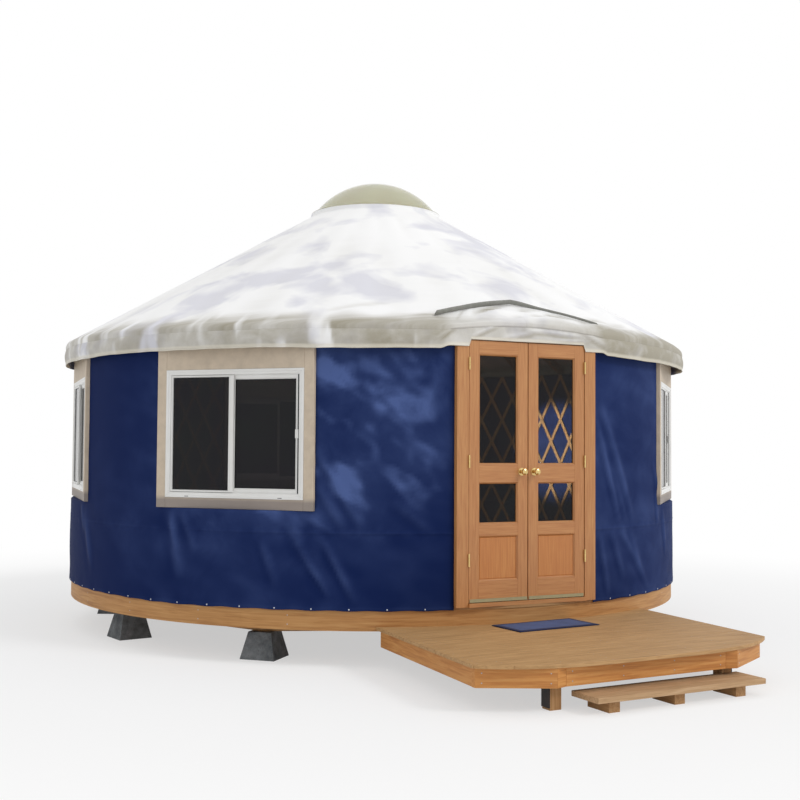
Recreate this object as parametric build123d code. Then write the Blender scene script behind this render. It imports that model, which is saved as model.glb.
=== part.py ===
from build123d import *
from math import asin, atan2, cos, degrees, hypot, radians, sin, sqrt, tan
import os

# A round fabric house of lattice walls and rafters on a raised timber platform, with a front porch.
# Millimetres, +Z up. The origin is on level ground under the middle of the house, and the doorway faces -Y.
# An azimuth is counted in degrees from the doorway, positive towards +X.

# Running clearances
SEAT = 0.3                      # between a piece and what it rests against
SAW_GAP = 0.6                   # between two boards or cloths that butt
DOOR_GAP = 5.0                  # round a door in its frame
MEETING_GAP = 8.0               # between the two doors

# Platform
BLOCK_HEIGHT = 216.0
BLOCK_FOOT = 300.0              # side of a precast pier block at the ground
BLOCK_HEAD = 200.0              # and at its top
PIER_INSET = 345.0              # ring of piers inside the rim board
PIER_AZIMUTHS = (44.0, 80.0, 116.0, 152.0)         # on each side, with one more in front and at the back
MIDDLE_PIERS = 1250.0           # spacing of the piers under the middle beam
BEAM_WIDTH = 89.0
BEAM_DEPTH = 89.0
JOIST_WIDTH = 38.0
JOIST_DEPTH = 140.0
JOIST_SPACING = 406.0
FLOOR_THICKNESS = 20.0
RIM_INSET = 9.0                 # bent rim board inside the wall cover
RIM_THICKNESS = 20.0
RIM_DROP = 18.0                 # how far the rim board hangs below the joists
RIM_BOARDS = 12

# Wall
COVER_RADIUS = 3000.0           # outside of the wall cover
COVER_THICKNESS = 6.0
COVER_LAP = 25.0                # how far the cover hangs below the floor's top
WALL_OVER_DOOR = 47.0           # top of the lattice above the doors' tops
SLAT_WIDTH = 35.0
SLAT_THICKNESS = 9.85
SLAT_SLOPE = 62.0
SLATS_AROUND = 66               # slats in each layer
SHORTEST_SLAT = 120.0           # shorter offcuts beside an opening are left out
CABLE_DIAMETER = 10.0
COVER_SEAM_AZIMUTH = 138.0      # upright seam in the back of the cover

# Roof
ROOF_PITCH = 30.05
ROOF_THICKNESS = 6.0
EAVE_OVERHANG = 60.0            # past the wall cover
VALANCE_DEPTH = 198.0
ROOF_GORES = 12
RAFTERS = 32
RAFTER_WIDTH = 38.0
RAFTER_DEPTH = 89.0
RAFTER_SETBACK = 20.0           # rafters' lower ends inside the eave
RAFTER_TAIL_CUT = 40.0
RING_RADIUS = 640.0             # outside of the wooden centre ring
RING_WALL = 80.0
RING_DEPTH = 180.0
RING_BLOCKS = 8                 # the ring and the dome's rim are built up of arcs
DOME_RISE = 326.0
DOME_THICKNESS = 6.0
DOME_FLANGE = 28.0
DOME_RIM_LAP = 25.0             # how far the dome's rim reaches past the ring on each side
DOME_RIM_HEIGHT = 24.0
DIVERTER_HALF = 783.0           # half the length of the rain diverter over the doorway, along X
DIVERTER_INSET = 240.0          # its ends inside the eave
DIVERTER_RISE = 158.0           # its peak further in, as seen from above
DIVERTER_HEIGHT = 42.0
DIVERTER_THICKNESS = 16.0

# Doorway
FRAME_INSET = 30.0              # outer face of the door frame inside the cover's radius
FRAME_DEPTH = 110.0
FRAME_BOARD = 105.0             # width of jambs and head as seen from the front
STOP_DEPTH = 30.0
STOP_WIDTH = 14.0
SILL_HEIGHT = 30.0
SILL_NOSE = 22.0
DOOR_WIDTH = 538.0
DOOR_HEIGHT = 2053.0
DOOR_THICKNESS = 44.0
DOOR_SETBACK = 4.0              # door's outer face behind the frame's
STILE_WIDTH = 90.0
TOP_RAIL = 105.0
LOCK_RAIL = 142.0
LOWER_GLASS = 326.0
MIDDLE_RAIL = 94.0
WOOD_PANEL = 349.0
BOTTOM_RAIL = 165.0
GROOVE = 10.0                   # how deep panes and panels sit in stiles and rails
PANE_THICKNESS = 6.0
PANEL_EDGE = 10.0
PANEL_FIELD = 24.0
PANEL_MARGIN = 2.0              # field's foot inside the opening
PANEL_BEVEL = 14.0              # width of the bevel round the field
SWEEP_HEIGHT = 25.0
SWEEP_THICKNESS = 6.0
KNOB_HEIGHT = 1018.0            # above the bottom of the door
KNOB_INSET = 56.0
KNOB_RADIUS = 26.0
KNOB_REACH = 62.0
ROSE_RADIUS = 31.0
ROSE_THICKNESS = 8.0
NECK_RADIUS = 10.0
LOW_HINGE = 330.0               # middle of the lowest hinge above the door's bottom
HIGH_HINGE = 183.0              # middle of the highest hinge below the door's top
HINGE_LENGTH = 100.0
HINGE_RADIUS = 7.0
HINGE_PLATE = 2.5
HINGE_PLATE_DEPTH = 32.0
HINGE_REACH = 8.0               # hinge pin in front of the frame's face
HINGE_PLAY = 0.6                # between knuckles

# Windows
WINDOW_AZIMUTHS = (-96.0, -47.0, 47.0, 86.0, 180.0)
WINDOW_INSET = 46.0             # outer face of a window inside the cover's radius
WINDOW_WIDTH = 1242.0
WINDOW_HEIGHT = 1030.0
WINDOW_DROP = 278.0             # top of the window below the wall's head
WINDOW_DEPTH = 64.0
WINDOW_BAR = 48.0
MULLION = 32.0
SASH_BAR = 34.0
SASH_DEPTH = 24.0
SASH_SETBACK = 22.0
MULLION_SETBACK = 4.0
MULLION_PLAY = 1.0              # between the mullion and the sash behind it
FIXED_PANE_LEAD = 8.0           # fixed pane in front of the sash
SURROUND_BOARD = 84.0
SURROUND_SETBACK = 4.0
SURROUND_DEPTH = 100.0
SURROUND_FACING = 22.0          # thickness of the board over the window
SURROUND_STUD = 38.0

# Porch
DECK_TOP = 322.0
DECK_THICKNESS = 26.0
DECK_HALF = 1280.0
DECK_REACH = 1345.0             # front corners out from the rim board
DECK_BOW = 285.0                # middle of the curved front edge past its corners
DECK_CURVE = 3.75               # the higher, the flatter its middle and the rounder its corners
DECK_LEAN = 3.2                 # degrees by which its sides run to one side of straight out
PORCH_BOARD = 38.0
PORCH_BOARD_DEPTH = 130.0
PORCH_OVERHANG = 35.0           # deck past the side boards
PORCH_SHIFT = -35.0             # the porch's middle beside the doorway's
PORCH_TURN = 2.3                # its front runs out of square with the doorway
CHEEK_INNER_X = 775.0           # inner end of each slanted front board: across,
CHEEK_INNER_REACH = 235.0       # and past the deck's front corners
CHEEK_SETBACK = 15.0            # its outer end behind the deck's front corner
RECESS_HALF = 690.0
RECESS_REACH = 210.0            # face of the board over the step, past the deck's front corners
PORCH_JOIST_SPACING = 370.0
JOIST_PLAY = 12.0               # a joist's end stays this far to one side of a change in the boards
POST_SIDE = 89.0
POST_ACROSS = 745.0
POST_REACH = 76.0               # past the deck's front corners
BRACKET_THICKNESS = 8.0
BRACKET_HEIGHT = 150.0
STEP_LENGTH = 1458.0
STEP_DEPTH = 286.0
STEP_THICKNESS = 38.0
STEP_TOP = 119.0
STEP_ACROSS = 108.0             # its middle beside the doorway's
STEP_REACH = 121.0              # back edge past the deck's front corners
BEARER_SETBACK = 60.0           # bearers behind the step's front edge
STEP_BEARERS = 3
MAT_SIZE = (775.0, 370.0, 12.0)
MAT_ACROSS = 25.0
MAT_REACH = 205.0               # its middle out from the rim board
MAT_TURN = 5.0

# Levels and radii that follow from the sizes above
BEAM_BOTTOM = BLOCK_HEIGHT
JOIST_BOTTOM = BEAM_BOTTOM + BEAM_DEPTH
JOIST_TOP = JOIST_BOTTOM + JOIST_DEPTH
FLOOR_TOP = JOIST_TOP + FLOOR_THICKNESS
DOOR_BOTTOM = FLOOR_TOP + SILL_HEIGHT + DOOR_GAP
DOOR_TOP = DOOR_BOTTOM + DOOR_HEIGHT
WALL_HEAD = DOOR_TOP + WALL_OVER_DOOR
COVER_INSIDE = COVER_RADIUS - COVER_THICKNESS
COVER_BOTTOM = FLOOR_TOP - COVER_LAP
FLOOR_RADIUS = COVER_INSIDE - SEAT
RIM_RADIUS = COVER_INSIDE - RIM_INSET
RIM_INSIDE = RIM_RADIUS - RIM_THICKNESS
PIER_RING = RIM_RADIUS - PIER_INSET
SLAT_OUTSIDE = COVER_INSIDE - SEAT
SLAT_MIDDLE = SLAT_OUTSIDE - SLAT_THICKNESS - SEAT / 2
SLOPE = tan(radians(ROOF_PITCH))
RAFTER_DROP = RAFTER_DEPTH / cos(radians(ROOF_PITCH))
ROOF_DROP = ROOF_THICKNESS / cos(radians(ROOF_PITCH))
CABLE_HEIGHT = WALL_HEAD + CABLE_DIAMETER / 2
CABLE_CLEAR = (CABLE_DIAMETER / 2 + SEAT) / cos(radians(ROOF_PITCH))
RAFTER_LINE = CABLE_HEIGHT + CABLE_CLEAR + RAFTER_DROP + SLAT_MIDDLE * SLOPE    # rafters' tops, at radius 0
ROOF_LINE = RAFTER_LINE + SEAT + ROOF_DROP                                      # roof's top, at radius 0
EAVE_RADIUS = COVER_RADIUS + EAVE_OVERHANG
RAFTER_TAIL = EAVE_RADIUS - RAFTER_SETBACK
EAVE_HEIGHT = ROOF_LINE - EAVE_RADIUS * SLOPE
RING_TOP = ROOF_LINE - RING_RADIUS * SLOPE + SEAT
VALANCE_BOTTOM = EAVE_HEIGHT - VALANCE_DEPTH
DIVERTER_FOOT = EAVE_RADIUS - DIVERTER_INSET
DIVERTER_PEAK = DIVERTER_FOOT - DIVERTER_RISE
FRAME_FACE = COVER_RADIUS - FRAME_INSET
FRAME_BACK = FRAME_FACE - FRAME_DEPTH
FRAME_INNER = MEETING_GAP / 2 + DOOR_WIDTH + DOOR_GAP
FRAME_OUTER = FRAME_INNER + FRAME_BOARD
FRAME_TOP = DOOR_TOP + DOOR_GAP + FRAME_BOARD
DOOR_FACE = FRAME_FACE - DOOR_SETBACK
HINGE_X = FRAME_INNER - DOOR_GAP / 2
HINGE_OUT = FRAME_FACE + HINGE_REACH
HINGE_HEIGHTS = (LOW_HINGE, (LOW_HINGE + DOOR_HEIGHT - HIGH_HINGE) / 2, DOOR_HEIGHT - HIGH_HINGE)
UPPER_GLASS = DOOR_HEIGHT - TOP_RAIL - LOCK_RAIL - LOWER_GLASS - MIDDLE_RAIL - WOOD_PANEL - BOTTOM_RAIL
WINDOW_FACE = COVER_RADIUS - WINDOW_INSET
WINDOW_TOP = WALL_HEAD - WINDOW_DROP
WINDOW_BOTTOM = WINDOW_TOP - WINDOW_HEIGHT
SURROUND_HALF = WINDOW_WIDTH / 2 + SEAT + SURROUND_BOARD
SURROUND_BOTTOM = WINDOW_BOTTOM - SEAT - SURROUND_BOARD
SURROUND_FACE = WINDOW_FACE - SURROUND_SETBACK
SILL_TUCK = SURROUND_BOTTOM - SEAT - COVER_THICKNESS    # underside of the cloth tucked in under a window
DECK_BOTTOM = DECK_TOP - DECK_THICKNESS
PORCH_BOARD_BOTTOM = DECK_BOTTOM - PORCH_BOARD_DEPTH
SIDE_FACE = DECK_HALF - PORCH_OVERHANG
DECK_CORNER = RIM_RADIUS + DECK_REACH
CHEEK_INNER = (CHEEK_INNER_X, DECK_CORNER + CHEEK_INNER_REACH)                  # across, out
CHEEK_OUTER = (SIDE_FACE, DECK_CORNER - CHEEK_SETBACK)
RECESS_FACE = DECK_CORNER + RECESS_REACH
POST_PLACE = (POST_ACROSS, DECK_CORNER + POST_REACH)                           # across, out
STEP_BACK = DECK_CORNER + STEP_REACH
MAT_CENTRE = (MAT_ACROSS, RIM_RADIUS + MAT_REACH)
FRONT_PLACE = Pos(0, -DECK_CORNER, 0) * Rot(0, 0, PORCH_TURN) * Pos(0, DECK_CORNER, 0)  # turns step and posts
PORCH_PLACE = Pos(PORCH_SHIFT, 0, 0) * FRONT_PLACE                                      # deck's edge and boards
CUT_INSIDE = FRAME_BACK / 2     # reach of the blocks that cut openings in the wall
CUT_OUTSIDE = EAVE_RADIUS * 1.1
CUT_TOP = ROOF_LINE * 1.1
DECK_CURVE_STEPS = 8            # points on each half of the deck's front edge
CUT_PAST = 1.0                  # how far such a block runs past the face that it cuts


def box(x, y, z):
    """A box between pairs of limits."""
    size = [high - low for low, high in (x, y, z)]
    middle = [(low + high) / 2 for low, high in (x, y, z)]
    return Pos(*middle) * Box(*size)


def around(middle, width):
    """Limits of a piece of a given width about its middle."""
    return middle - width / 2, middle + width / 2


def round_plan(azimuth, radius):
    """The plan point at an azimuth and a radius."""
    return radius * sin(radians(azimuth)), -radius * cos(radians(azimuth))


def turned(shape, azimuth):
    """A shape made in front of the doorway, carried round to an azimuth."""
    return Rot(0, 0, azimuth) * shape


def tube(inside, outside, bottom, top):
    """An upright ring wall round the middle of the house."""
    wall = Circle(outside) - Circle(inside)
    return Pos(0, 0, bottom) * extrude(wall, top - bottom)


def slot(half_width, back=CUT_INSIDE, bottom=0.0):
    """A block that clears an opening of the given half width in the wall in front of it."""
    return box((-half_width, half_width), (-CUT_OUTSIDE, -back), (bottom, CUT_TOP))


def segments(shape, count):
    """Cuts a ring into equal pieces by thin radial cuts, none of them over the doorway's middle."""
    for i in range(count):
        shape -= turned(slot(SAW_GAP / 2, back=SAW_GAP), (i + 0.5) * 360 / count)
    return shape.solids()


def plank(start, end, thickness, bottom, top):
    """A board on edge from one plan point to another, with its thickness to the left of that line."""
    length = hypot(end[0] - start[0], end[1] - start[1])
    turn = degrees(atan2(end[1] - start[1], end[0] - start[0]))
    board = box((SAW_GAP / 2, length - SAW_GAP / 2), (0, thickness), (bottom, top))
    return Pos(start[0], start[1], 0) * Rot(0, 0, turn) * board


def save(node, *pieces):
    """Writes the solids of one node."""
    solids = [solid for piece in pieces for solid in piece.solids()]
    export_step(Compound(label=node, children=solids), f"parts/{node}.step")


def make_piers():
    """Precast blocks in a ring under the rim, and a row under the middle beam."""
    taper = degrees(atan2((BLOCK_FOOT - BLOCK_HEAD) / 2, BLOCK_HEIGHT))
    block = extrude(Rectangle(BLOCK_FOOT, BLOCK_FOOT), BLOCK_HEIGHT, taper=taper)
    ring = [azimuth * side for azimuth in PIER_AZIMUTHS for side in (-1, 1)] + [0.0, 180.0]
    blocks = [Pos(*round_plan(a, PIER_RING), 0) * Rot(0, 0, a) * block for a in ring]
    blocks += [Pos(i * MIDDLE_PIERS, 0, 0) * block for i in (-1, 0, 1)]
    save("pier_blocks", *blocks)
    return ring


def make_floor_frame(ring):
    """Beams from pier to pier with one across the middle, the joists over them and the floor."""
    plan = make_face(Polyline(*[round_plan(a, PIER_RING) for a in sorted(ring)], close=True))
    inner = offset(plan, -BEAM_WIDTH / 2, kind=Kind.INTERSECTION)
    beams = extrude(offset(plan, BEAM_WIDTH / 2, kind=Kind.INTERSECTION) - inner, BEAM_DEPTH)
    for azimuth in ring:
        beams -= turned(slot(SAW_GAP / 2), azimuth)
    fitted = offset(plan, -BEAM_WIDTH / 2 - SAW_GAP, kind=Kind.INTERSECTION)
    across = box((-PIER_RING, PIER_RING), (-BEAM_WIDTH / 2, BEAM_WIDTH / 2), (0, BEAM_DEPTH))
    across &= extrude(fitted, BEAM_DEPTH)
    save("floor_beams", *(Pos(0, 0, BEAM_BOTTOM) * piece for piece in (beams, across)))

    joists = []
    reach = RIM_INSIDE - SEAT
    count = int((reach - JOIST_WIDTH) / JOIST_SPACING)
    for i in range(-count, count + 1):
        x = i * JOIST_SPACING
        half = sqrt(reach**2 - (abs(x) + JOIST_WIDTH / 2) ** 2)
        joists.append(box(around(x, JOIST_WIDTH), (-half, half), (JOIST_BOTTOM, JOIST_TOP)))
    save("floor_joists", *joists)

    rim = tube(RIM_INSIDE, RIM_RADIUS, JOIST_BOTTOM - RIM_DROP, JOIST_TOP)
    save("fascia_band", *segments(rim, RIM_BOARDS))
    save("floor_deck", Pos(0, 0, JOIST_TOP) * extrude(Circle(FLOOR_RADIUS), FLOOR_THICKNESS))


def window_slots(half_width, bottom=0.0):
    """Blocks that clear all the windows."""
    return [turned(slot(half_width, bottom=bottom), azimuth) for azimuth in WINDOW_AZIMUTHS]


def make_cover():
    """The wall's fabric: full-height panels between the openings, and short ones under the windows."""
    wall = tube(COVER_INSIDE, COVER_RADIUS, COVER_BOTTOM, WALL_HEAD)
    panels = wall - slot(FRAME_OUTER + SEAT)
    for clear in window_slots(SURROUND_HALF + SEAT):
        panels -= clear
    for side in (-1, 1):
        panels -= turned(slot(SAW_GAP / 2), side * COVER_SEAM_AZIMUTH)

    places = [piece.center(CenterOf.BOUNDING_BOX) for piece in panels.solids()]
    for side, way in (("left", -1), ("right", 1)):
        row = [(place.Y, piece) for place, piece in zip(places, panels.solids()) if place.X * way > 0]
        row.sort(key=lambda pair: pair[0])
        for name, (_, piece) in zip(("front", "side", "rear", "back"), row):
            save(f"{name}_{side}_cover", piece)

    low = tube(COVER_INSIDE, COVER_RADIUS, COVER_BOTTOM, SURROUND_BOTTOM - SEAT)
    low = low & slot(SURROUND_HALF + SEAT - SAW_GAP)
    tuck = Pos(0, 0, SILL_TUCK) * extrude(Circle(COVER_RADIUS), COVER_THICKNESS)
    low = low + (tuck & slot(SURROUND_HALF, back=SURROUND_FACE - COVER_LAP))
    save("under_window_covers", *[turned(low, azimuth) for azimuth in WINDOW_AZIMUTHS])


def make_lattice():
    """Two layers of crossing slats, each bent to the round of the wall and cut at the openings."""
    height = WALL_HEAD - FLOOR_TOP
    step = 360 / SLATS_AROUND
    lean = degrees(height / tan(radians(SLAT_SLOPE)) / SLAT_OUTSIDE)
    sides = int(lean / step / 2) + 2
    azimuths = [i * step for i in range(-sides, sides + 1)]
    door_cut = slot(FRAME_OUTER + SEAT)
    window_cuts = window_slots(SURROUND_HALF + SEAT, bottom=SILL_TUCK - SEAT)
    openings = list(zip(WINDOW_AZIMUTHS, window_cuts)) + [(0.0, door_cut)]
    opening_half = degrees(asin((SURROUND_HALF + SEAT) / FRAME_BACK))
    reach = lean / 2 + opening_half + step / 2
    smallest = SLAT_WIDTH * SLAT_THICKNESS * SHORTEST_SLAT

    for node, outside, way in (
        ("lattice_outer_slats", SLAT_OUTSIDE, 1),
        ("lattice_inner_slats", SLAT_MIDDLE - SEAT / 2, -1),
    ):
        outer = [round_plan(a, outside) for a in azimuths]
        inner = [round_plan(a, outside - SLAT_THICKNESS) for a in reversed(azimuths)]
        strip = extrude(make_face(Polyline(*outer, *inner, close=True)), height)
        slab = Pos(0, -outside, height / 2) * Rot(0, way * SLAT_SLOPE, 0) * Box(2 * height, 200, SLAT_WIDTH)
        slat = Pos(0, 0, FLOOR_TOP) * (strip & slab)
        pieces = []
        for i in range(SLATS_AROUND):
            azimuth = (i + 0.5) * step
            piece = turned(slat, azimuth)
            for centre, clear in openings:
                away = abs((azimuth - centre + 180) % 360 - 180)
                if away < reach:
                    piece -= clear
            pieces += [solid for solid in piece.solids() if solid.volume > smallest]
        save(node, *pieces)


def make_cable():
    """The steel cable along the top of the lattice, from one door jamb round to the other."""
    ends = degrees(asin((FRAME_OUTER + SEAT) / (SLAT_MIDDLE - CABLE_DIAMETER / 2)))
    section = Pos(SLAT_MIDDLE, CABLE_HEIGHT) * Circle(CABLE_DIAMETER / 2)
    ring = revolve(Plane.XZ * section, Axis.Z, 360 - 2 * ends)
    save("top_cable", Rot(0, 0, ends - 90) * ring)


def make_door_frame():
    """Jambs and head with the stops that the doors close on, and the sill between the jambs."""
    stop_front = -DOOR_FACE + DOOR_THICKNESS + DOOR_GAP
    stop_back = stop_front + STOP_DEPTH
    face = (-FRAME_FACE, -FRAME_BACK)
    head_bottom = DOOR_TOP + DOOR_GAP
    jambs = []
    for side in (-1, 1):
        jamb = box(sorted((side * FRAME_INNER, side * FRAME_OUTER)), face, (FLOOR_TOP, head_bottom - SAW_GAP))
        stop_x = sorted((side * (FRAME_INNER - STOP_WIDTH), side * FRAME_INNER))
        jamb += box(stop_x, (stop_front, stop_back), (FLOOR_TOP + SILL_HEIGHT + SEAT, head_bottom - SAW_GAP))
        plate_x = sorted((side * FRAME_INNER, side * (FRAME_INNER + HINGE_PLATE)))
        for height in HINGE_HEIGHTS:
            jamb -= box(plate_x, (-FRAME_FACE, -FRAME_FACE + HINGE_PLATE_DEPTH), hinge_span(height))
        jambs.append(jamb)
    save("door_jambs", *jambs)

    head = box((-FRAME_OUTER, FRAME_OUTER), face, (head_bottom, FRAME_TOP))
    inner = FRAME_INNER - STOP_WIDTH - SAW_GAP
    head += box((-inner, inner), (stop_front, stop_back), (head_bottom - STOP_WIDTH, head_bottom))
    save("door_head", head)

    nose = FRAME_INNER - SEAT
    sill_z = (FLOOR_TOP, FLOOR_TOP + SILL_HEIGHT)
    save("door_sill", box((-nose, nose), (-FRAME_FACE - SILL_NOSE, -FRAME_BACK), sill_z))


def hinge_span(height):
    """The lowest and highest level of the hinge at a height on the door."""
    middle = DOOR_BOTTOM + height
    return middle - HINGE_LENGTH / 2, middle + HINGE_LENGTH / 2


def knuckle(side, bottom, top):
    """A stretch of a hinge's barrel."""
    return Pos(side * HINGE_X, -HINGE_OUT, bottom) * extrude(Circle(HINGE_RADIUS), top - bottom)


def hinge(side, height, on_frame):
    """One half of a butt hinge: its plate, let into jamb or door, with its share of the barrel's knuckles."""
    low, high = hinge_span(height)
    third = (high - low) / 3
    if on_frame:
        inner, outer = FRAME_INNER, FRAME_INNER + HINGE_PLATE
        spans = ((low, low + third - HINGE_PLAY), (high - third + HINGE_PLAY, high))
    else:
        inner, outer = FRAME_INNER - DOOR_GAP - HINGE_PLATE, FRAME_INNER - DOOR_GAP
        spans = ((low + third, high - third),)
    x = sorted((side * inner, side * outer))
    back = -FRAME_FACE + HINGE_PLATE_DEPTH
    half = box(x, (-FRAME_FACE, back), (low, high))
    for bottom, top in spans:
        half += knuckle(side, bottom, top)
        half += box(x, (-HINGE_OUT, back), (bottom, top))
    return half


def door_opening(side, bottom, top):
    """The limits, across and up, of an opening between a door's stiles."""
    free, hung = MEETING_GAP / 2, MEETING_GAP / 2 + DOOR_WIDTH
    x = sorted((side * (free + STILE_WIDTH), side * (hung - STILE_WIDTH)))
    return x, (bottom, top)


def grown(limits, by):
    """Limits moved outwards by a margin."""
    return limits[0] - by, limits[1] + by


def knob_shape():
    """A turned knob on its rose, standing along +Z from the door's face."""
    neck_top = KNOB_REACH - 1.4 * KNOB_RADIUS
    points = [
        (0, 0),
        (ROSE_RADIUS, 0),
        (ROSE_RADIUS, ROSE_THICKNESS / 2),
        (NECK_RADIUS * 1.2, ROSE_THICKNESS),
        (NECK_RADIUS, neck_top),
        (KNOB_RADIUS * 0.8, neck_top + KNOB_RADIUS * 0.2),
        (KNOB_RADIUS, KNOB_REACH - KNOB_RADIUS * 0.7),
        (KNOB_RADIUS * 0.9, KNOB_REACH - KNOB_RADIUS * 0.2),
        (KNOB_RADIUS * 0.5, KNOB_REACH),
        (0, KNOB_REACH),
    ]
    return revolve(Plane.XZ * make_face(Polyline(*points, close=True)), Axis.Z)


def make_door(side):
    """One of the two doors: stiles and rails, two panes, a raised wood panel, sweep, knobs and hinges."""
    name = "right" if side > 0 else "left"
    free, hung = MEETING_GAP / 2, MEETING_GAP / 2 + DOOR_WIDTH
    front, back = -DOOR_FACE, -DOOR_FACE + DOOR_THICKNESS
    middle = (front + back) / 2
    across = sorted((side * free, side * hung))
    leaf = box(across, (front, back), (DOOR_BOTTOM, DOOR_TOP))

    top = DOOR_TOP - TOP_RAIL
    upper = door_opening(side, top - UPPER_GLASS, top)
    top -= UPPER_GLASS + LOCK_RAIL
    lower = door_opening(side, top - LOWER_GLASS, top)
    top -= LOWER_GLASS + MIDDLE_RAIL
    panel = door_opening(side, top - WOOD_PANEL, top)

    panes = []
    through = grown((front, back), CUT_PAST)
    for x, z in (upper, lower):
        leaf -= box(x, through, z)
        half = PANE_THICKNESS / 2
        leaf -= box(grown(x, GROOVE), (middle - half - SEAT, middle + half + SEAT), grown(z, GROOVE))
        panes.append(box(grown(x, GROOVE - SEAT), (middle - half, middle + half), grown(z, GROOVE - SEAT)))
    x, z = panel
    leaf -= box(x, through, z)
    half = PANEL_EDGE / 2
    leaf -= box(grown(x, GROOVE), (middle - half - SEAT, middle + half + SEAT), grown(z, GROOVE))
    board = box(grown(x, GROOVE - SEAT), (middle - half, middle + half), grown(z, GROOVE - SEAT))
    wide, high = x[1] - x[0] - 2 * PANEL_MARGIN, z[1] - z[0] - 2 * PANEL_MARGIN
    bevel = degrees(atan2(PANEL_BEVEL, PANEL_FIELD / 2))
    for way in (-1, 1):
        foot = Plane((sum(x) / 2, middle, sum(z) / 2), x_dir=(1, 0, 0), z_dir=(0, way, 0))
        board += extrude(foot * Rectangle(wide, high), PANEL_FIELD / 2, taper=bevel)

    for height in HINGE_HEIGHTS:
        edge = FRAME_INNER - DOOR_GAP
        notch = sorted((side * (edge - HINGE_PLATE), side * (edge + CUT_PAST)))
        leaf -= box(notch, (front - CUT_PAST, -FRAME_FACE + HINGE_PLATE_DEPTH), hinge_span(height))
    save(f"{name}_door", leaf)
    save(f"{name}_door_panes", *panes)
    save(f"{name}_door_panel", board)
    sweep_z = (DOOR_BOTTOM, DOOR_BOTTOM + SWEEP_HEIGHT)
    hinge_clear = HINGE_RADIUS + DOOR_GAP
    sweep_x = sorted((side * (free + DOOR_GAP), side * (HINGE_X - hinge_clear)))
    save(f"{name}_door_sweep", box(sweep_x, (front - SWEEP_THICKNESS, front), sweep_z))

    knob = knob_shape()
    place = Pos(side * (free + KNOB_INSET), 0, DOOR_BOTTOM + KNOB_HEIGHT)
    knobs = [place * Pos(0, front, 0) * Rot(90, 0, 0) * knob, place * Pos(0, back, 0) * Rot(-90, 0, 0) * knob]
    save(f"{name}_door_knobs", *knobs)
    save(f"{name}_door_hinges", *[hinge(side, height, False) for height in HINGE_HEIGHTS])


def rectangle_frame(x, y, z, bar):
    """A flat frame of bars of one width."""
    return box(x, y, z) - box(grown(x, -bar), grown(y, CUT_PAST), grown(z, -bar))


def make_windows():
    """Sliding windows: the tan surround up to the wall's head, the white frame, one sash and two panes."""
    half = WINDOW_WIDTH / 2
    depth = (-SURROUND_FACE, -SURROUND_FACE + SURROUND_DEPTH)
    hole = (-half - SEAT, half + SEAT)
    surround = box((-SURROUND_HALF, SURROUND_HALF), depth, (SURROUND_BOTTOM, WALL_HEAD))
    surround -= box(hole, depth, (WINDOW_BOTTOM - SEAT, WINDOW_TOP + SEAT))
    pocket_x = (-SURROUND_HALF + SURROUND_STUD, SURROUND_HALF - SURROUND_STUD)
    pocket_z = (WINDOW_TOP + SURROUND_STUD, WALL_HEAD - SURROUND_STUD)
    surround -= box(pocket_x, (depth[0] + SURROUND_FACING, depth[1]), pocket_z)

    y = (-WINDOW_FACE, -WINDOW_FACE + WINDOW_DEPTH)
    z = (WINDOW_BOTTOM, WINDOW_TOP)
    frame = rectangle_frame((-half, half), y, z, WINDOW_BAR)
    post = (-MULLION, 0.0)
    inner_z = grown(z, -WINDOW_BAR)
    frame += box(post, (y[0] + MULLION_SETBACK, y[0] + SASH_SETBACK - MULLION_PLAY), inner_z)
    pane_front = y[0] + SASH_SETBACK - FIXED_PANE_LEAD
    light = (pane_front, pane_front + PANE_THICKNESS)
    fixed_x = (-half + WINDOW_BAR, -MULLION)
    fixed_pane = box(grown(fixed_x, -SEAT), light, grown(inner_z, -SEAT))

    sash_x = (-MULLION, half - WINDOW_BAR - SEAT)
    sash_y = (y[0] + SASH_SETBACK, y[0] + SASH_SETBACK + SASH_DEPTH)
    sash_z = grown(inner_z, -SEAT)
    sash = rectangle_frame(sash_x, sash_y, sash_z, SASH_BAR)
    middle = sum(sash_y) / 2
    sash_pane = box(
        grown(sash_x, -SASH_BAR - SEAT), (middle - PANE_THICKNESS / 2, middle + PANE_THICKNESS / 2),
        grown(sash_z, -SASH_BAR - SEAT),
    )
    for node, pieces in (
        ("window_surrounds", (surround,)),
        ("window_frames", (frame,)),
        ("window_sashes", (sash,)),
        ("window_glass", (fixed_pane, sash_pane)),
    ):
        save(node, *[turned(piece, azimuth) for azimuth in WINDOW_AZIMUTHS for piece in pieces])


def under_line(radius, line):
    """The height, at a radius, of a line that falls with the roof."""
    return line - radius * SLOPE


def cone_band(inner, outer, low, high):
    """A ring that falls with the roof, between two lines given by their heights at radius 0."""
    corners = [(inner, high), (outer, high), (outer, low), (inner, low)]
    profile = Polyline(*[(radius, under_line(radius, line)) for radius, line in corners], close=True)
    return revolve(Plane.XZ * make_face(profile), Axis.Z)


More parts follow.
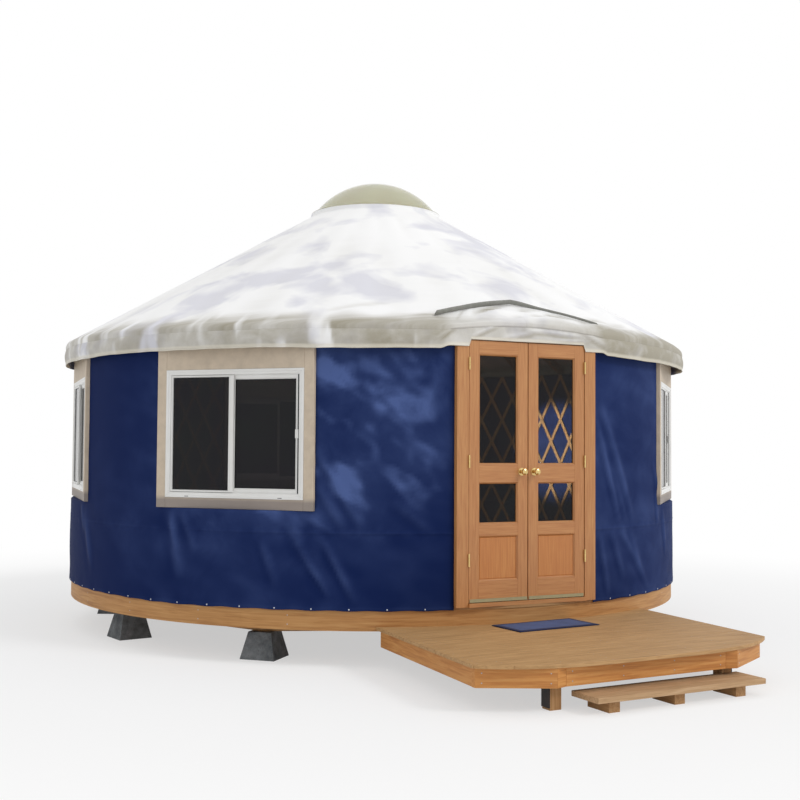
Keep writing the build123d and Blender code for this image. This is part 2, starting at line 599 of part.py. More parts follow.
def make_rafters():
    """Rafters from the cable to the centre ring, seated on the door's head where they cross it."""
    inner = RING_RADIUS + SEAT
    low = RAFTER_LINE - RAFTER_DROP
    tail_low = RAFTER_TAIL - RAFTER_TAIL_CUT
    side = Polyline(
        (inner, under_line(inner, RAFTER_LINE)),
        (RAFTER_TAIL, under_line(RAFTER_TAIL, RAFTER_LINE)),
        (RAFTER_TAIL, under_line(RAFTER_TAIL, RAFTER_LINE) - RAFTER_DROP / 2),
        (tail_low, under_line(tail_low, low)),
        (inner, under_line(inner, low)),
        close=True,
    )
    rafter = Rot(0, 0, -90) * extrude(Plane.XZ * make_face(side), RAFTER_WIDTH / 2, both=True)
    head_x = (-FRAME_OUTER - SEAT, FRAME_OUTER + SEAT)
    head = box(head_x, (-FRAME_FACE - SEAT, -FRAME_BACK + SEAT), (0, FRAME_TOP + SEAT))
    flap = slot(FRAME_OUTER, back=FRAME_FACE)
    rafters = []
    for i in range(RAFTERS):
        azimuth = (i + 0.5) * 360 / RAFTERS
        piece = turned(rafter, azimuth)
        if FRAME_FACE * abs(sin(radians(azimuth))) < FRAME_OUTER and cos(radians(azimuth)) > 0:
            piece = piece - head - flap
        rafters.append(piece)
    save("rafters", *rafters)


def make_roof():
    """Roof cover with a straight edge over the doorway, the valance round the eave and the door's flap."""
    flap_back = FRAME_FACE + SEAT
    flap_face = flap_back + ROOF_THICKNESS
    door_half = sqrt(EAVE_RADIUS**2 - flap_face**2)
    underside = ROOF_LINE - ROOF_DROP
    cover = cone_band(RING_RADIUS + SEAT, EAVE_RADIUS, underside, ROOF_LINE)
    save("roof_cover", *segments(cover - slot(EAVE_RADIUS, back=flap_face), ROOF_GORES))

    eave = under_line(EAVE_RADIUS, underside) - SEAT
    valance = tube(EAVE_RADIUS - ROOF_THICKNESS, EAVE_RADIUS, VALANCE_BOTTOM, eave)
    save("roof_valance", *segments(valance - slot(door_half + SEAT), ROOF_GORES))

    flap = box((-door_half, door_half), (-flap_face, -flap_back), (DOOR_TOP + DOOR_GAP, ROOF_LINE))
    above = cone_band(FRAME_BACK, CUT_OUTSIDE, underside - SEAT, ROOF_LINE + EAVE_RADIUS)
    save("door_flap", flap - above)

    fall = (DIVERTER_FOOT - DIVERTER_PEAK) / DIVERTER_HALF
    wide = DIVERTER_THICKNESS * hypot(1, fall)
    back = [(-DIVERTER_HALF, -DIVERTER_FOOT), (0, -DIVERTER_PEAK), (DIVERTER_HALF, -DIVERTER_FOOT)]
    front = [(x, y - wide) for x, y in reversed(back)]
    upright = extrude(make_face(Polyline(*back, *front, close=True)), CUT_TOP)
    band = cone_band(FRAME_BACK / 2, EAVE_RADIUS, ROOF_LINE + SEAT, ROOF_LINE + DIVERTER_HEIGHT)
    save("rain_diverter", upright & band)


def make_ring_and_dome():
    """The wooden centre ring, the rim that clamps the roof cover on it and the clear dome."""
    ring = tube(RING_RADIUS - RING_WALL, RING_RADIUS, RING_TOP - RING_DEPTH, RING_TOP)
    save("centre_ring", *segments(ring, RING_BLOCKS))
    rim_out = RING_RADIUS + DOME_RIM_LAP
    rim_in = RING_RADIUS - RING_WALL + DOME_RIM_LAP
    rim = tube(rim_in, rim_out, RING_TOP, RING_TOP + DOME_RIM_HEIGHT)
    save("dome_rim", *segments(rim, RING_BLOCKS))

    foot = RING_TOP + DOME_RIM_HEIGHT
    spring = rim_out - DOME_FLANGE
    flange_in = spring - DOME_THICKNESS
    flange = foot + DOME_THICKNESS
    outer = ThreePointArc((spring, flange), arc_middle(spring, DOME_RISE, flange), (0, flange + DOME_RISE))
    inner = ThreePointArc((0, foot + DOME_RISE), arc_middle(flange_in, DOME_RISE, foot), (flange_in, foot))
    rest = Polyline((flange_in, foot), (rim_out, foot), (rim_out, flange), (spring, flange))
    crown = Line((0, flange + DOME_RISE), (0, foot + DOME_RISE))
    save("skylight_dome", revolve(Plane.XZ * make_face(outer + crown + inner + rest), Axis.Z))


def arc_middle(half, rise, foot):
    """A point half way along a crown of the given half span and rise."""
    radius = (half**2 + rise**2) / (2 * rise)
    middle = asin(half / radius) / 2
    return radius * sin(middle), foot + rise - radius * (1 - cos(middle))


def porch_point(x, out):
    """The plan point of a place in the porch's front, given across it and out from the house."""
    place = (PORCH_PLACE * Pos(x, -out, 0)).position
    return place.X, place.Y


def side_point(corner, y):
    """Point at a level Y on the line that runs from a front corner to the house, along a side of the deck."""
    return (corner[0] + tan(radians(DECK_LEAN)) * (y - corner[1]), y)


def make_porch():
    """The porch: a deck with a curved front, its rim boards and joists, posts, the step and the mat."""
    back = RIM_RADIUS + SEAT
    shares = [i / DECK_CURVE_STEPS for i in range(-DECK_CURVE_STEPS, DECK_CURVE_STEPS + 1)]
    edge = [
        porch_point(DECK_HALF * share, DECK_CORNER + DECK_BOW * (1 - abs(share) ** DECK_CURVE)) for share in shares
    ]
    left, right = edge[0], edge[-1]
    under = -RIM_RADIUS / 2
    rest = Polyline(right, side_point(right, under), side_point(left, under), left)
    plan = make_face(Spline(*edge) + rest) - Circle(back)
    save("porch_deck", Pos(0, 0, DECK_BOTTOM) * extrude(plan, DECK_THICKNESS))

    levels = (PORCH_BOARD_BOTTOM, DECK_BOTTOM)
    recess = box((-RECESS_HALF, RECESS_HALF), (-RECESS_FACE, -RECESS_FACE + PORCH_BOARD), levels)
    cheek = plank((CHEEK_INNER[0], -CHEEK_INNER[1]), (CHEEK_OUTER[0], -CHEEK_OUTER[1]), PORCH_BOARD, *levels)
    corner = (RECESS_HALF + SAW_GAP, -RECESS_FACE)
    short = plank(corner, (CHEEK_INNER[0] - SAW_GAP, -CHEEK_INNER[1]), PORCH_BOARD, *levels) - cheek - recess
    boards = [PORCH_PLACE * recess]
    for side in (-1, 1):
        pair = [piece if side > 0 else mirror(piece, Plane.YZ) for piece in (cheek, short)]
        slanted, joining = (PORCH_PLACE * piece for piece in pair)
        corner = porch_point(side * CHEEK_OUTER[0], CHEEK_OUTER[1])
        inset = (corner[0] - side * PORCH_BOARD / cos(radians(DECK_LEAN)), corner[1])
        near = -sqrt(back**2 - inset[0] ** 2)
        near = -sqrt(back**2 - side_point(inset, near)[0] ** 2)
        front = corner[1] + PORCH_BOARD
        sides = [side_point(point, y) for point, y in ((corner, front), (corner, near), (inset, near), (inset, front))]
        along = Pos(0, 0, levels[0]) * extrude(make_face(Polyline(*sides, close=True)), PORCH_BOARD_DEPTH)
        boards += [slanted, joining, along - slanted]
    save("porch_rim", *boards)

    joists = []
    run = CHEEK_OUTER[0] - CHEEK_INNER[0]
    fall = CHEEK_INNER[1] - CHEEK_OUTER[1]
    cheek_back = PORCH_BOARD * hypot(run, fall) / run + SAW_GAP
    turn = radians(PORCH_TURN)
    count = int((SIDE_FACE - PORCH_BOARD - JOIST_WIDTH - abs(PORCH_SHIFT)) / PORCH_JOIST_SPACING)
    for i in range(-count, count + 1):
        x = i * PORCH_JOIST_SPACING
        across = x - PORCH_SHIFT
        reach = JOIST_WIDTH / 2 + JOIST_PLAY
        if abs(across) - reach < CHEEK_INNER[0]:
            end = RECESS_FACE - PORCH_BOARD - SAW_GAP
        else:
            end = CHEEK_INNER[1] - (abs(across) + reach - CHEEK_INNER[0]) / run * fall - cheek_back
        end = DECK_CORNER + (end - DECK_CORNER) * cos(turn) - across * sin(turn) - JOIST_WIDTH * sin(turn)
        near = max(0.0, abs(x) - JOIST_WIDTH / 2)
        joists.append(box(around(x, JOIST_WIDTH), (-end, -sqrt(back**2 - near**2)), levels))
    save("porch_joists", *joists)

    posts, brackets = [], []
    x, out = POST_PLACE
    half = POST_SIDE / 2
    for side in (-1, 1):
        place = FRONT_PLACE * Pos(side * x, -out, 0)
        posts.append(place * box((-half, half), (-half, half), (0, PORCH_BOARD_BOTTOM)))
        low = PORCH_BOARD_BOTTOM - BRACKET_HEIGHT
        plate_x = sorted((side * half, side * (half + BRACKET_THICKNESS)))
        plate = box(plate_x, (-half, half), (low, PORCH_BOARD_BOTTOM))
        brackets.append(place * plate)
    save("porch_posts", *posts)
    save("post_brackets", *brackets)

    step = around(STEP_ACROSS, STEP_LENGTH)
    step_y = (-STEP_BACK - STEP_DEPTH, -STEP_BACK)
    bearer_y = (step_y[0] + BEARER_SETBACK, step_y[1] - SEAT)
    bottom = STEP_TOP - STEP_THICKNESS
    save("step_board", FRONT_PLACE * box(step, step_y, (bottom, STEP_TOP)))
    pitch = (STEP_LENGTH - 4 * POST_SIDE) / (STEP_BEARERS - 1)
    bearers = []
    for i in range(STEP_BEARERS):
        x = step[0] + 2 * POST_SIDE + i * pitch
        bearers.append(FRONT_PLACE * box(around(x, POST_SIDE), bearer_y, (0, bottom)))
    save("step_supports", *bearers)

    mat = Box(*MAT_SIZE, align=(Align.CENTER, Align.CENTER, Align.MIN))
    save("door_mat", Pos(MAT_CENTRE[0], -MAT_CENTRE[1], DECK_TOP) * Rot(0, 0, MAT_TURN) * mat)


def main():
    os.makedirs("parts", exist_ok=True)
    make_floor_frame(make_piers())
    make_porch()
    make_cover()
    make_lattice()
    make_cable()
    make_windows()
    make_door_frame()
    for side in (-1, 1):
        make_door(side)
    save("door_frame_hinges", *[hinge(side, height, True) for side in (-1, 1) for height in HINGE_HEIGHTS])
    make_rafters()
    make_roof()
    make_ring_and_dome()


main()
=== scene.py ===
"""Looks of a round fabric house on a raised timber platform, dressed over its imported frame.

Metres, +Z up. The origin is on level ground under the middle of the house, and the doorway faces -Y.
An azimuth is counted in degrees from the doorway, positive towards +X.
"""

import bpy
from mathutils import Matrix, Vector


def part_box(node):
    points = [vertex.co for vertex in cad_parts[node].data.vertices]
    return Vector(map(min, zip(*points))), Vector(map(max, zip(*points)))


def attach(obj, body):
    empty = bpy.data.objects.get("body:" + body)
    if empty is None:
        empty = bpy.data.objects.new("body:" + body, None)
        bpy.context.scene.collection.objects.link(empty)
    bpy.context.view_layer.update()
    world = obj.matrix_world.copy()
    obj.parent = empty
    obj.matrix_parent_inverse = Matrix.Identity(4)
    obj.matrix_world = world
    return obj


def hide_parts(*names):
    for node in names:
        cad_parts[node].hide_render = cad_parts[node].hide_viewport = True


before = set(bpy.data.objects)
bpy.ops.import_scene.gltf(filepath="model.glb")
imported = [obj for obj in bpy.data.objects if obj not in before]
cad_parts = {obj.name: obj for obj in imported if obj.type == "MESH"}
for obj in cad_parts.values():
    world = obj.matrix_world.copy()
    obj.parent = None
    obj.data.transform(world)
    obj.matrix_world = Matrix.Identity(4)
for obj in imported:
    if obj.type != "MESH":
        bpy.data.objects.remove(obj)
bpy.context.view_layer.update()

import logging
import random
from dataclasses import dataclass, field
from enum import Enum
from math import asin, copysign, cos, degrees, dist, exp, hypot, inf, log, pi, radians, sin, sqrt, tan
from typing import Any, Callable, Iterable, Sequence

import bmesh
import bpy
from bpy.types import Material, Node, NodeSocket, NodeTree, Object, World
from mathutils import Matrix, Vector, noise

LOG = logging.getLogger("yurt")
MM = 0.001

# Kinds of node that come up often.
MATH, NOISE, RANGE = "ShaderNodeMath", "ShaderNodeTexNoise", "ShaderNodeMapRange"
VECTOR, BUMP, AT = "ShaderNodeVectorMath", "ShaderNodeBump", "ShaderNodeTexCoord"
XYZ, PARTS = "ShaderNodeCombineXYZ", "ShaderNodeSeparateXYZ"

# Places with the direction that each faces, a moulding's section, and what a finish gives its shader.
Spots = list[tuple[Vector, Vector]]
Profile = tuple[tuple[float, float], ...]
Surface = tuple[Any, list[tuple[Any, str]], dict[str, Any]]


def linear(hex_colour: str) -> tuple[float, float, float, float]:
    """Linear red, green, blue and an alpha of 1 for an sRGB hex colour."""
    parts = [int(hex_colour[i:i + 2], 16) / 255 for i in (1, 3, 5)]
    return (*(c / 12.92 if c <= 0.04045 else ((c + 0.055) / 1.055) ** 2.4 for c in parts), 1.0)


def smooth(value: float, low: float, high: float) -> float:
    """Eased step from 0 at low to 1 at high."""
    share = min(1.0, max(0.0, (value - low) / (high - low)))
    return share * share * (3 - 2 * share)


def ripple(along: float, up: float, seed: float, size: float) -> float:
    """Smooth noise between about -1 and 1 on a surface, with bumps about a size apart."""
    return noise.noise(Vector((along / size, up / size, seed * 7.31)))


def cloud(spot: Vector, seed: float, size: float) -> float:
    """Smooth noise between about -1 and 1 at a point in space, with bumps about a size apart."""
    return noise.noise(spot / size + Vector((seed * 7.31, 0.0, seed)))


def plan_point(azimuth: float, radius: float, height: float = 0.0) -> Vector:
    """Point at an azimuth in degrees, a radius and a height."""
    turn = radians(azimuth)
    return Vector((radius * sin(turn), -radius * cos(turn), height))


def facing(azimuth: float) -> Matrix:
    """Turn that carries something made in front of the doorway round to an azimuth."""
    return Matrix.Rotation(radians(azimuth), 4, "Z")


def wrapped(azimuth: float) -> float:
    """The same azimuth as a value from -180 up to 180 degrees."""
    return (azimuth + 180) % 360 - 180


def steps(low: float, high: float, size: float) -> list[float]:
    """Evenly spaced values from low to high, about a size apart, both ends included."""
    count = max(1, round((high - low) / size))
    return [low + (high - low) * i / count for i in range(count + 1)]


def joined(*runs: Iterable[float]) -> list[float]:
    """Rising values of several runs, with those that fall together merged."""
    rising = sorted(value for run in runs for value in run)
    return [value for before, value in zip([-inf, *rising], rising) if value - before > 1e-6]


def add_node(
    tree: NodeTree,
    kind: str,
    inputs: dict[str | int, Any] | None = None,
    stops: Sequence[tuple[float, str]] = (),
    **settings: Any,
) -> Node:
    """Adds a node with its settings and links.

    Args:
        tree: Tree that takes the node.
        kind: Node type.
        inputs: Value, socket or node for an input, by its name or number. A node gives its first output.
        stops: Position and hex colour of each stop of a colour ramp, in order.
        **settings: Properties of the node.

    Returns:
        The new node.
    """
    node = tree.nodes.new(kind)
    for key, value in settings.items():
        setattr(node, key, value)
    for key, value in (inputs or {}).items():
        if isinstance(value, Node):
            value = value.outputs[0]
        if isinstance(value, NodeSocket):
            tree.links.new(value, node.inputs[key])
        else:
            node.inputs[key].default_value = value
    for i, (place, colour) in enumerate(stops):
        elements = node.color_ramp.elements
        stop = elements[i] if i < len(elements) else elements.new(place)
        stop.position, stop.color = place, linear(colour)
    return node


def empty_tree(owner: Material | World) -> NodeTree:
    """Gives a material or a world a node tree with nothing in it.

    Args:
        owner: The material or world.

    Returns:
        Its tree.
    """
    owner.use_nodes = True
    owner.node_tree.nodes.clear()
    return owner.node_tree


def add_piece(
    name: str,
    corners: Sequence[Sequence[float]],
    faces: Sequence[Sequence[int]],
    material: Material | None = None,
    values: dict[str, Sequence[Any]] | None = None,
    turned_out: bool = False,
) -> Object:
    """Puts a smooth mesh in the scene as a piece at the origin.

    Args:
        name: Name of the piece.
        corners: Its points.
        faces: Numbers of each face's corners.
        material: Its finish, if it has one.
        values: Numbers or vectors at its points, by the name of their attribute.
        turned_out: Whether to turn the faces of its closed shapes outwards.

    Returns:
        The piece.
    """
    mesh = bpy.data.meshes.new(name)
    mesh.from_pydata(corners, [], faces)
    if turned_out:
        work = bmesh.new()
        work.from_mesh(mesh)
        bmesh.ops.recalc_face_normals(work, faces=work.faces)
        work.to_mesh(mesh)
        work.free()
    for key, given in (values or {}).items():
        if isinstance(given[0], float):
            mesh.attributes.new(key, "FLOAT", "POINT").data.foreach_set("value", given)
        else:
            numbers = [part for vector in given for part in vector]
            mesh.attributes.new(key, "FLOAT_VECTOR", "POINT").data.foreach_set("vector", numbers)
    mesh.polygons.foreach_set("use_smooth", [True] * len(mesh.polygons))
    piece = bpy.data.objects.new(name, mesh)
    bpy.context.scene.collection.objects.link(piece)
    if material is not None:
        mesh.materials.append(material)
    return piece


def dress(piece: Object, slot: str, *nodes: str, body: str = "root") -> Object:
    """Gives a finished piece its place in the frame.

    Args:
        piece: The piece.
        slot: Its material slot; not used.
        *nodes: CAD nodes that it stands for.
        body: The body that it moves with.

    Returns:
        The piece.
    """
    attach(piece, body)
    if nodes:
        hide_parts(*nodes)
    LOG.info("%s: %d faces", piece.name, len(piece.data.polygons))
    return piece


class Grain(Enum):
    """How a piece of wood lies, for the direction of its grain."""

    BOARD = "grain attribute of each board"
    ALONG_X = "x"
    ALONG_Y = "y"
    ALONG_Z = "z"
    ROUND = "round the wall"
    RADIAL = "out from the middle"
    SLAT_RIGHT = "slats that lean right"
    SLAT_LEFT = "slats that lean left"


class Finish:
    """Base of the finishes: a ground colour, layers over it, and what else the surface shader takes."""

    name: str

    def surface(self, tree: NodeTree) -> Surface:
        """Makes the finish's patterns.

        Args:
            tree: Material's node tree.

        Returns:
            The ground colour, the share and colour of each layer over it, and the shader's other inputs.
        """
        raise NotImplementedError

    def make(self) -> Material:
        """Builds the material.

        Returns:
            The material, named for its finish.
        """
        material = bpy.data.materials.new(self.name)
        tree = empty_tree(material)
        colour, layers, inputs = self.surface(tree)
        for share, over in layers:
            mixed = add_node(tree, "ShaderNodeMix", {0: share, 6: colour, 7: linear(over)}, data_type="RGBA")
            colour = mixed.outputs[2]
        shader = add_node(tree, "ShaderNodeBsdfPrincipled", {"Base Color": colour, **inputs})
        add_node(tree, "ShaderNodeOutputMaterial", {"Surface": shader})
        return material


@dataclass(frozen=True)
class Wood(Finish):
    """Planed or sawn softwood: pale and dark growth lines along the board, and fine fibres under the finish.

    The lines run many times longer than they are wide, and each board starts at a place of its own.
    The real fibres are under 0.1 mm wide. They are drawn about 2 mm wide, so that they still show.
    """

    name: str
    pale: str
    middle: str
    dark: str
    grain: Grain
    line_mm: float = 14.0
    roughness: float = 0.5
    coat: float = 0.0
    relief: float = 0.15
    fibre: float = 0.22
    fibre_mm: float = 1 / 0.42
    tone: float = 0.55
    tone_mm: float = 1000 / 3.1
    wall_radius: float = 3.0
    slat_slope: float = 62.0

    def place(self, tree: NodeTree) -> NodeSocket:
        """Makes the nodes that tell where in the wood a place lies.

        Args:
            tree: Material's node tree.

        Returns:
            Socket with metres along the grain, across it and through it.
        """
        if self.grain is Grain.BOARD:
            return add_node(tree, "ShaderNodeAttribute", attribute_name="grain").outputs["Vector"]
        at = add_node(tree, AT).outputs["Object"]
        x, y, z = add_node(tree, PARTS, {0: at}).outputs
        straight = {Grain.ALONG_X: (x, y, z), Grain.ALONG_Y: (y, x, z), Grain.ALONG_Z: (z, x, y)}
        if self.grain in straight:
            return add_node(tree, XYZ, dict(enumerate(straight[self.grain]))).outputs[0]
        back = add_node(tree, MATH, {0: y, 1: -1.0}, operation="MULTIPLY")
        turn = add_node(tree, MATH, {0: x, 1: back}, operation="ARCTAN2")
        arc = add_node(tree, MATH, {0: turn, 1: self.wall_radius}, operation="MULTIPLY")
        level = add_node(tree, VECTOR, {0: at, 1: (1.0, 1.0, 0.0)}, operation="MULTIPLY")
        out = add_node(tree, VECTOR, {0: level}, operation="LENGTH").outputs["Value"]
        order = (out, arc, z) if self.grain is Grain.RADIAL else (arc, z, out)
        place = add_node(tree, XYZ, dict(enumerate(order))).outputs[0]
        if self.grain in (Grain.SLAT_RIGHT, Grain.SLAT_LEFT):
            lean = radians(self.slat_slope) * (1 if self.grain is Grain.SLAT_RIGHT else -1)
            turned = add_node(tree, "ShaderNodeVectorRotate", {"Vector": place, "Angle": -lean}, rotation_type="Z_AXIS")
            place = turned.outputs[0]
        return place

    def surface(self, tree: NodeTree) -> Surface:
        """Growth lines, a slow change of tone over them, and fibres that take up a little of the shine.

        Args:
            tree: Material's node tree.

        Returns:
            What Finish.surface() returns.
        """
        place = self.place(tree)
        patterns = []
        for along, texture in (
            (0.05, {"Scale": 1000 / self.line_mm, "Detail": 3.0, "Roughness": 0.6, "Distortion": 0.6}),
            (0.25, {"Scale": 1000 / self.tone_mm, "Detail": 2.0}),
            (0.02, {"Scale": 1000 / self.fibre_mm, "Detail": 2.0, "Roughness": 0.7}),
        ):
            drawn_out = add_node(tree, VECTOR, {0: place, 1: (along, 1.0, 1.0)}, operation="MULTIPLY")
            patterns.append(add_node(tree, NOISE, {"Vector": drawn_out, **texture}))
        lines, tone, fibre = patterns
        stops = ((0.3, self.dark), (0.5, self.middle), (0.7, self.pale))
        ground = add_node(tree, "ShaderNodeValToRGB", {0: lines}, stops)
        layers = [(add_node(tree, MATH, {0: pattern, 1: share}, operation="MULTIPLY"), self.dark)
                  for pattern, share in ((tone, self.tone), (fibre, self.fibre))]
        rough = add_node(tree, MATH, {0: fibre, 1: 0.16, 2: self.roughness - 0.08}, operation="MULTIPLY_ADD")
        height = add_node(tree, MATH, {0: fibre, 1: lines}, operation="ADD")
        bump = add_node(tree, BUMP, {"Strength": self.relief, "Distance": MM, "Height": height})
        return ground, layers, {
            "Roughness": rough, "Coat Weight": self.coat, "Coat Roughness": 0.25, "Normal": bump,
        }


@dataclass(frozen=True)
class CoatedCloth(Finish):
    """Polyester cloth with a vinyl coat, heat-sealed in widths: a satin face that takes dust and rain marks. Its soil
    layer also carries painted light and shade, and its lavender layer is painted shadow.

    The real threads lie 0.7 mm apart. They are drawn coarser, so that they still show from near the wall.
    """

    name: str
    face: str
    soil_and_shade: str
    seam: str
    thread_mm: float = 2.4
    roughness: float = 0.5
    sheen: float = 0.1
    mottle: float = 0.35
    patch: float = 0.35
    shine: float = 0.5
    painted_shade: str = "#c3c3d2"
    painted_shade_share: float = 0.0
    painted_shade_size: float = 0.35
    fuzz_mm: float = 6.25

    def surface(self, tree: NodeTree) -> Surface:
        """Woven threads that show through the coat, under lavender marks of painted shadow, mottled soil with painted
        light and shade, and seams.

        Args:
            tree: Material's node tree.

        Returns:
            What Finish.surface() returns.
        """
        cloth, soil_and_shade, seam = (add_node(tree, "ShaderNodeAttribute", attribute_name=name).outputs
                             for name in ("cloth", "soil_and_shade", "seam"))
        place = cloth["Vector"]
        patches = add_node(tree, NOISE,
                           {"Vector": place, "Scale": 1 / self.patch, "Detail": 5.0, "Roughness": 0.62,
                            "Distortion": 0.4})
        spread = add_node(tree, RANGE,
                          {"Value": patches, "From Min": 0.32, "From Max": 0.68, "To Min": 1 - self.mottle,
                           "To Max": 1 + self.mottle})
        # The soil layer: real dust and rain grime, with the painted light and shade that each cloth lays into it.
        soiled_and_shaded = add_node(tree, MATH, {0: soil_and_shade["Fac"], 1: spread}, operation="MULTIPLY", use_clamp=True)
        layers = [(soiled_and_shaded, self.soil_and_shade), (seam["Fac"], self.seam)]
        # Lavender-grey blotches of painted shade: tree shadows on the roof, and shade in the crumples over the doorway.
        if self.painted_shade_share:
            at = add_node(tree, AT).outputs["Object"]
            painted_shade_noise = add_node(tree, NOISE,
                            {"Vector": at, "Scale": 1 / self.painted_shade_size, "Detail": 3.0, "Roughness": 0.5,
                             "Distortion": 0.35})
            share = add_node(tree, RANGE,
                             {"Value": painted_shade_noise, "From Min": 0.49, "From Max": 0.63, "To Max": self.painted_shade_share})
            layers.insert(0, (share, self.painted_shade))
        turns = 2 * pi * 1000 / self.thread_mm
        scaled = add_node(tree, VECTOR, {0: place, 1: (turns, turns, turns)}, operation="MULTIPLY")
        waves = add_node(tree, VECTOR, {0: scaled}, operation="SINE")
        warp, weft, _ = add_node(tree, PARTS, {0: waves}).outputs
        weave = add_node(tree, MATH, {0: warp, 1: weft}, operation="MULTIPLY")
        fuzz = add_node(tree, NOISE, {"Vector": place, "Scale": 1000 / self.fuzz_mm, "Detail": 3.0})
        height = add_node(tree, MATH, {0: weave, 1: 0.25, 2: fuzz}, operation="MULTIPLY_ADD")
        return linear(self.face), layers, {
            "Roughness": self.roughness,
            "Specular IOR Level": self.shine,
            "Sheen Weight": self.sheen,
            "Sheen Roughness": 0.5,
            "Normal": add_node(tree, BUMP, {"Strength": 0.18, "Distance": 1.2 * MM, "Height": height}),
        }


@dataclass(frozen=True)
class Smooth(Finish):
    """A smooth or lightly mottled finish: paint, extruded vinyl, rubber, glass, cast or rolled metal.

    Below a given level, if one is given, it is darker.
    """

    name: str
    colour: str
    wear_and_painted_light: str
    roughness: float = 0.4
    metallic: float = 0.0
    patch_mm: float = 60.0
    wear: float = 0.3
    relief: float = 0.05
    alpha: float = 1.0
    ior: float = 1.5
    shine: float = 0.5
    darker_below: float = 0.0
    darker_colour: str = "#808080"

    def surface(self, tree: NodeTree) -> Surface:
        """Worn patches, and an unevenness nine times finer that breaks up the shine.

        Args:
            tree: Material's node tree.

        Returns:
            What Finish.surface() returns.
        """
        at = add_node(tree, AT).outputs["Object"]
        patches = add_node(tree, NOISE, {"Vector": at, "Scale": 1000 / self.patch_mm, "Detail": 5.0, "Roughness": 0.6})
        share = add_node(tree, RANGE, {"Value": patches, "From Min": 0.35, "From Max": 0.75, "To Max": self.wear})
        layers = [(share, self.wear_and_painted_light)]
        if self.darker_below:
            level = add_node(tree, PARTS, {0: at}).outputs["Z"]
            low = add_node(tree, RANGE,
                           {"Value": level, "From Min": self.darker_below - 0.02, "From Max": self.darker_below + 0.02,
                            "To Min": 0.85, "To Max": 0.0})
            layers.append((low, self.darker_colour))
        fine = add_node(tree, NOISE, {"Vector": at, "Scale": 9000 / self.patch_mm, "Detail": 3.0})
        inputs = {
            "Roughness": add_node(tree, MATH, {0: fine, 1: 0.12, 2: self.roughness - 0.06}, operation="MULTIPLY_ADD"),
            "Metallic": self.metallic,
            "Alpha": self.alpha,
            "Normal": add_node(tree, BUMP, {"Strength": self.relief, "Distance": MM, "Height": fine}),
        }
        if not self.metallic:
            inputs.update({"IOR": self.ior, "Specular IOR Level": self.shine})
        return linear(self.colour), layers, inputs


@dataclass(frozen=True)
class Concrete(Finish):
    """Precast concrete from a smooth form: cement grey with fine sand, air holes and damp stains."""

    name: str = "cast_concrete"
    pale: str = "#8d9194"
    dark: str = "#4e5357"
    stain_mm: float = 1000 / 7
    sand_mm: float = 3.125
    hole_mm: float = 1000 / 55

    def surface(self, tree: NodeTree) -> Surface:
        """Damp stains, sand at the face and sunk air holes.

        Args:
            tree: Material's node tree.

        Returns:
            What Finish.surface() returns.
        """
        at = add_node(tree, AT).outputs["Object"]
        stains = add_node(tree, NOISE, {"Vector": at, "Scale": 1000 / self.stain_mm, "Detail": 8.0, "Roughness": 0.7})
        ground = add_node(tree, "ShaderNodeValToRGB", {0: stains}, ((0.35, self.dark), (0.65, self.pale)))
        sand = add_node(tree, NOISE, {"Vector": at, "Scale": 1000 / self.sand_mm, "Detail": 3.0})
        dust = add_node(tree, MATH, {0: sand, 1: 0.3}, operation="MULTIPLY")
        cells = add_node(tree, "ShaderNodeTexVoronoi", {"Vector": at, "Scale": 1000 / self.hole_mm})
        holes = add_node(tree, RANGE, {"Value": cells, "From Min": 0.1, "From Max": 0.2, "To Min": 1.0, "To Max": 0.0})
        depth = add_node(tree, MATH, {0: sand, 1: -0.4, 2: holes}, operation="MULTIPLY_ADD")
        bump = add_node(tree, BUMP, {"Strength": 0.5, "Distance": 2 * MM, "Height": depth}, invert=True)
        return ground, [(dust, self.dark), (holes, self.dark)], {"Roughness": 0.92, "Normal": bump}


@dataclass(frozen=True)
class House:
    """Sizes that the sub-assemblies share, in metres.

    Those without a value here are read from the frame. The others are the part's own sizes, said again.
    """

    wall_radius: float
    wall_bottom: float
    wall_head: float
    floor_top: float
    eave_radius: float
    valance_bottom: float
    ring_radius: float
    ring_top: float
    flap_face: float
    flap_bottom: float
    frame_half: float
    opening_half: float
    rim_radius: float
    deck_top: float
    deck_bottom: float
    roof_pitch: float = 30.05
    window_azimuths: tuple[float, ...] = (-96.0, -47.0, 47.0, 86.0, 180.0)
    window_width: float = 1.242
    window_height: float = 1.030
    window_face: float = 2.954
    window_top: float = 2.322
    surround_board: float = 0.084
    seat: float = 0.0003

    @classmethod
    def from_frame(cls) -> "House":
        """Reads the sizes from the boxes of the frame's nodes.

        Returns:
            The house's sizes.
        """
        cover, flap, ring, deck = map(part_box, ("front_left_cover", "door_flap", "centre_ring", "porch_deck"))
        return cls(
            wall_radius=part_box("under_window_covers")[1][0],
            wall_bottom=cover[0][2],
            wall_head=cover[1][2],
            floor_top=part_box("floor_deck")[1][2],
            eave_radius=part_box("roof_cover")[1][0],
            valance_bottom=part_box("roof_valance")[0][2],
            ring_radius=ring[1][0],
            ring_top=ring[1][2],
            flap_face=-flap[0][1],
            flap_bottom=flap[0][2],
            frame_half=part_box("door_head")[1][0],
            opening_half=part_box("door_sill")[1][0],
            rim_radius=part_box("fascia_band")[1][0],
            deck_top=deck[1][2],
            deck_bottom=deck[0][2],
        )

    @property
    def slope(self) -> float:
        """Fall of the roof for each metre outwards."""
        return tan(radians(self.roof_pitch))

    def roof_height(self, radius: float) -> float:
        """Height of the roof's straight line at a radius."""
        return self.ring_top - (radius - self.ring_radius) * self.slope

    @property
    def surround_half(self) -> float:
        """Half the width of a window with its surround."""
        return self.window_width / 2 + self.seat + self.surround_board

    @property
    def surround_bottom(self) -> float:
        """Lowest level of a window's surround."""
        return self.window_top - self.window_height - self.seat - self.surround_board

    @property
    def surround_face(self) -> float:
        """Face of a window's surround, out from the middle of the house."""
        return self.window_face - 0.004


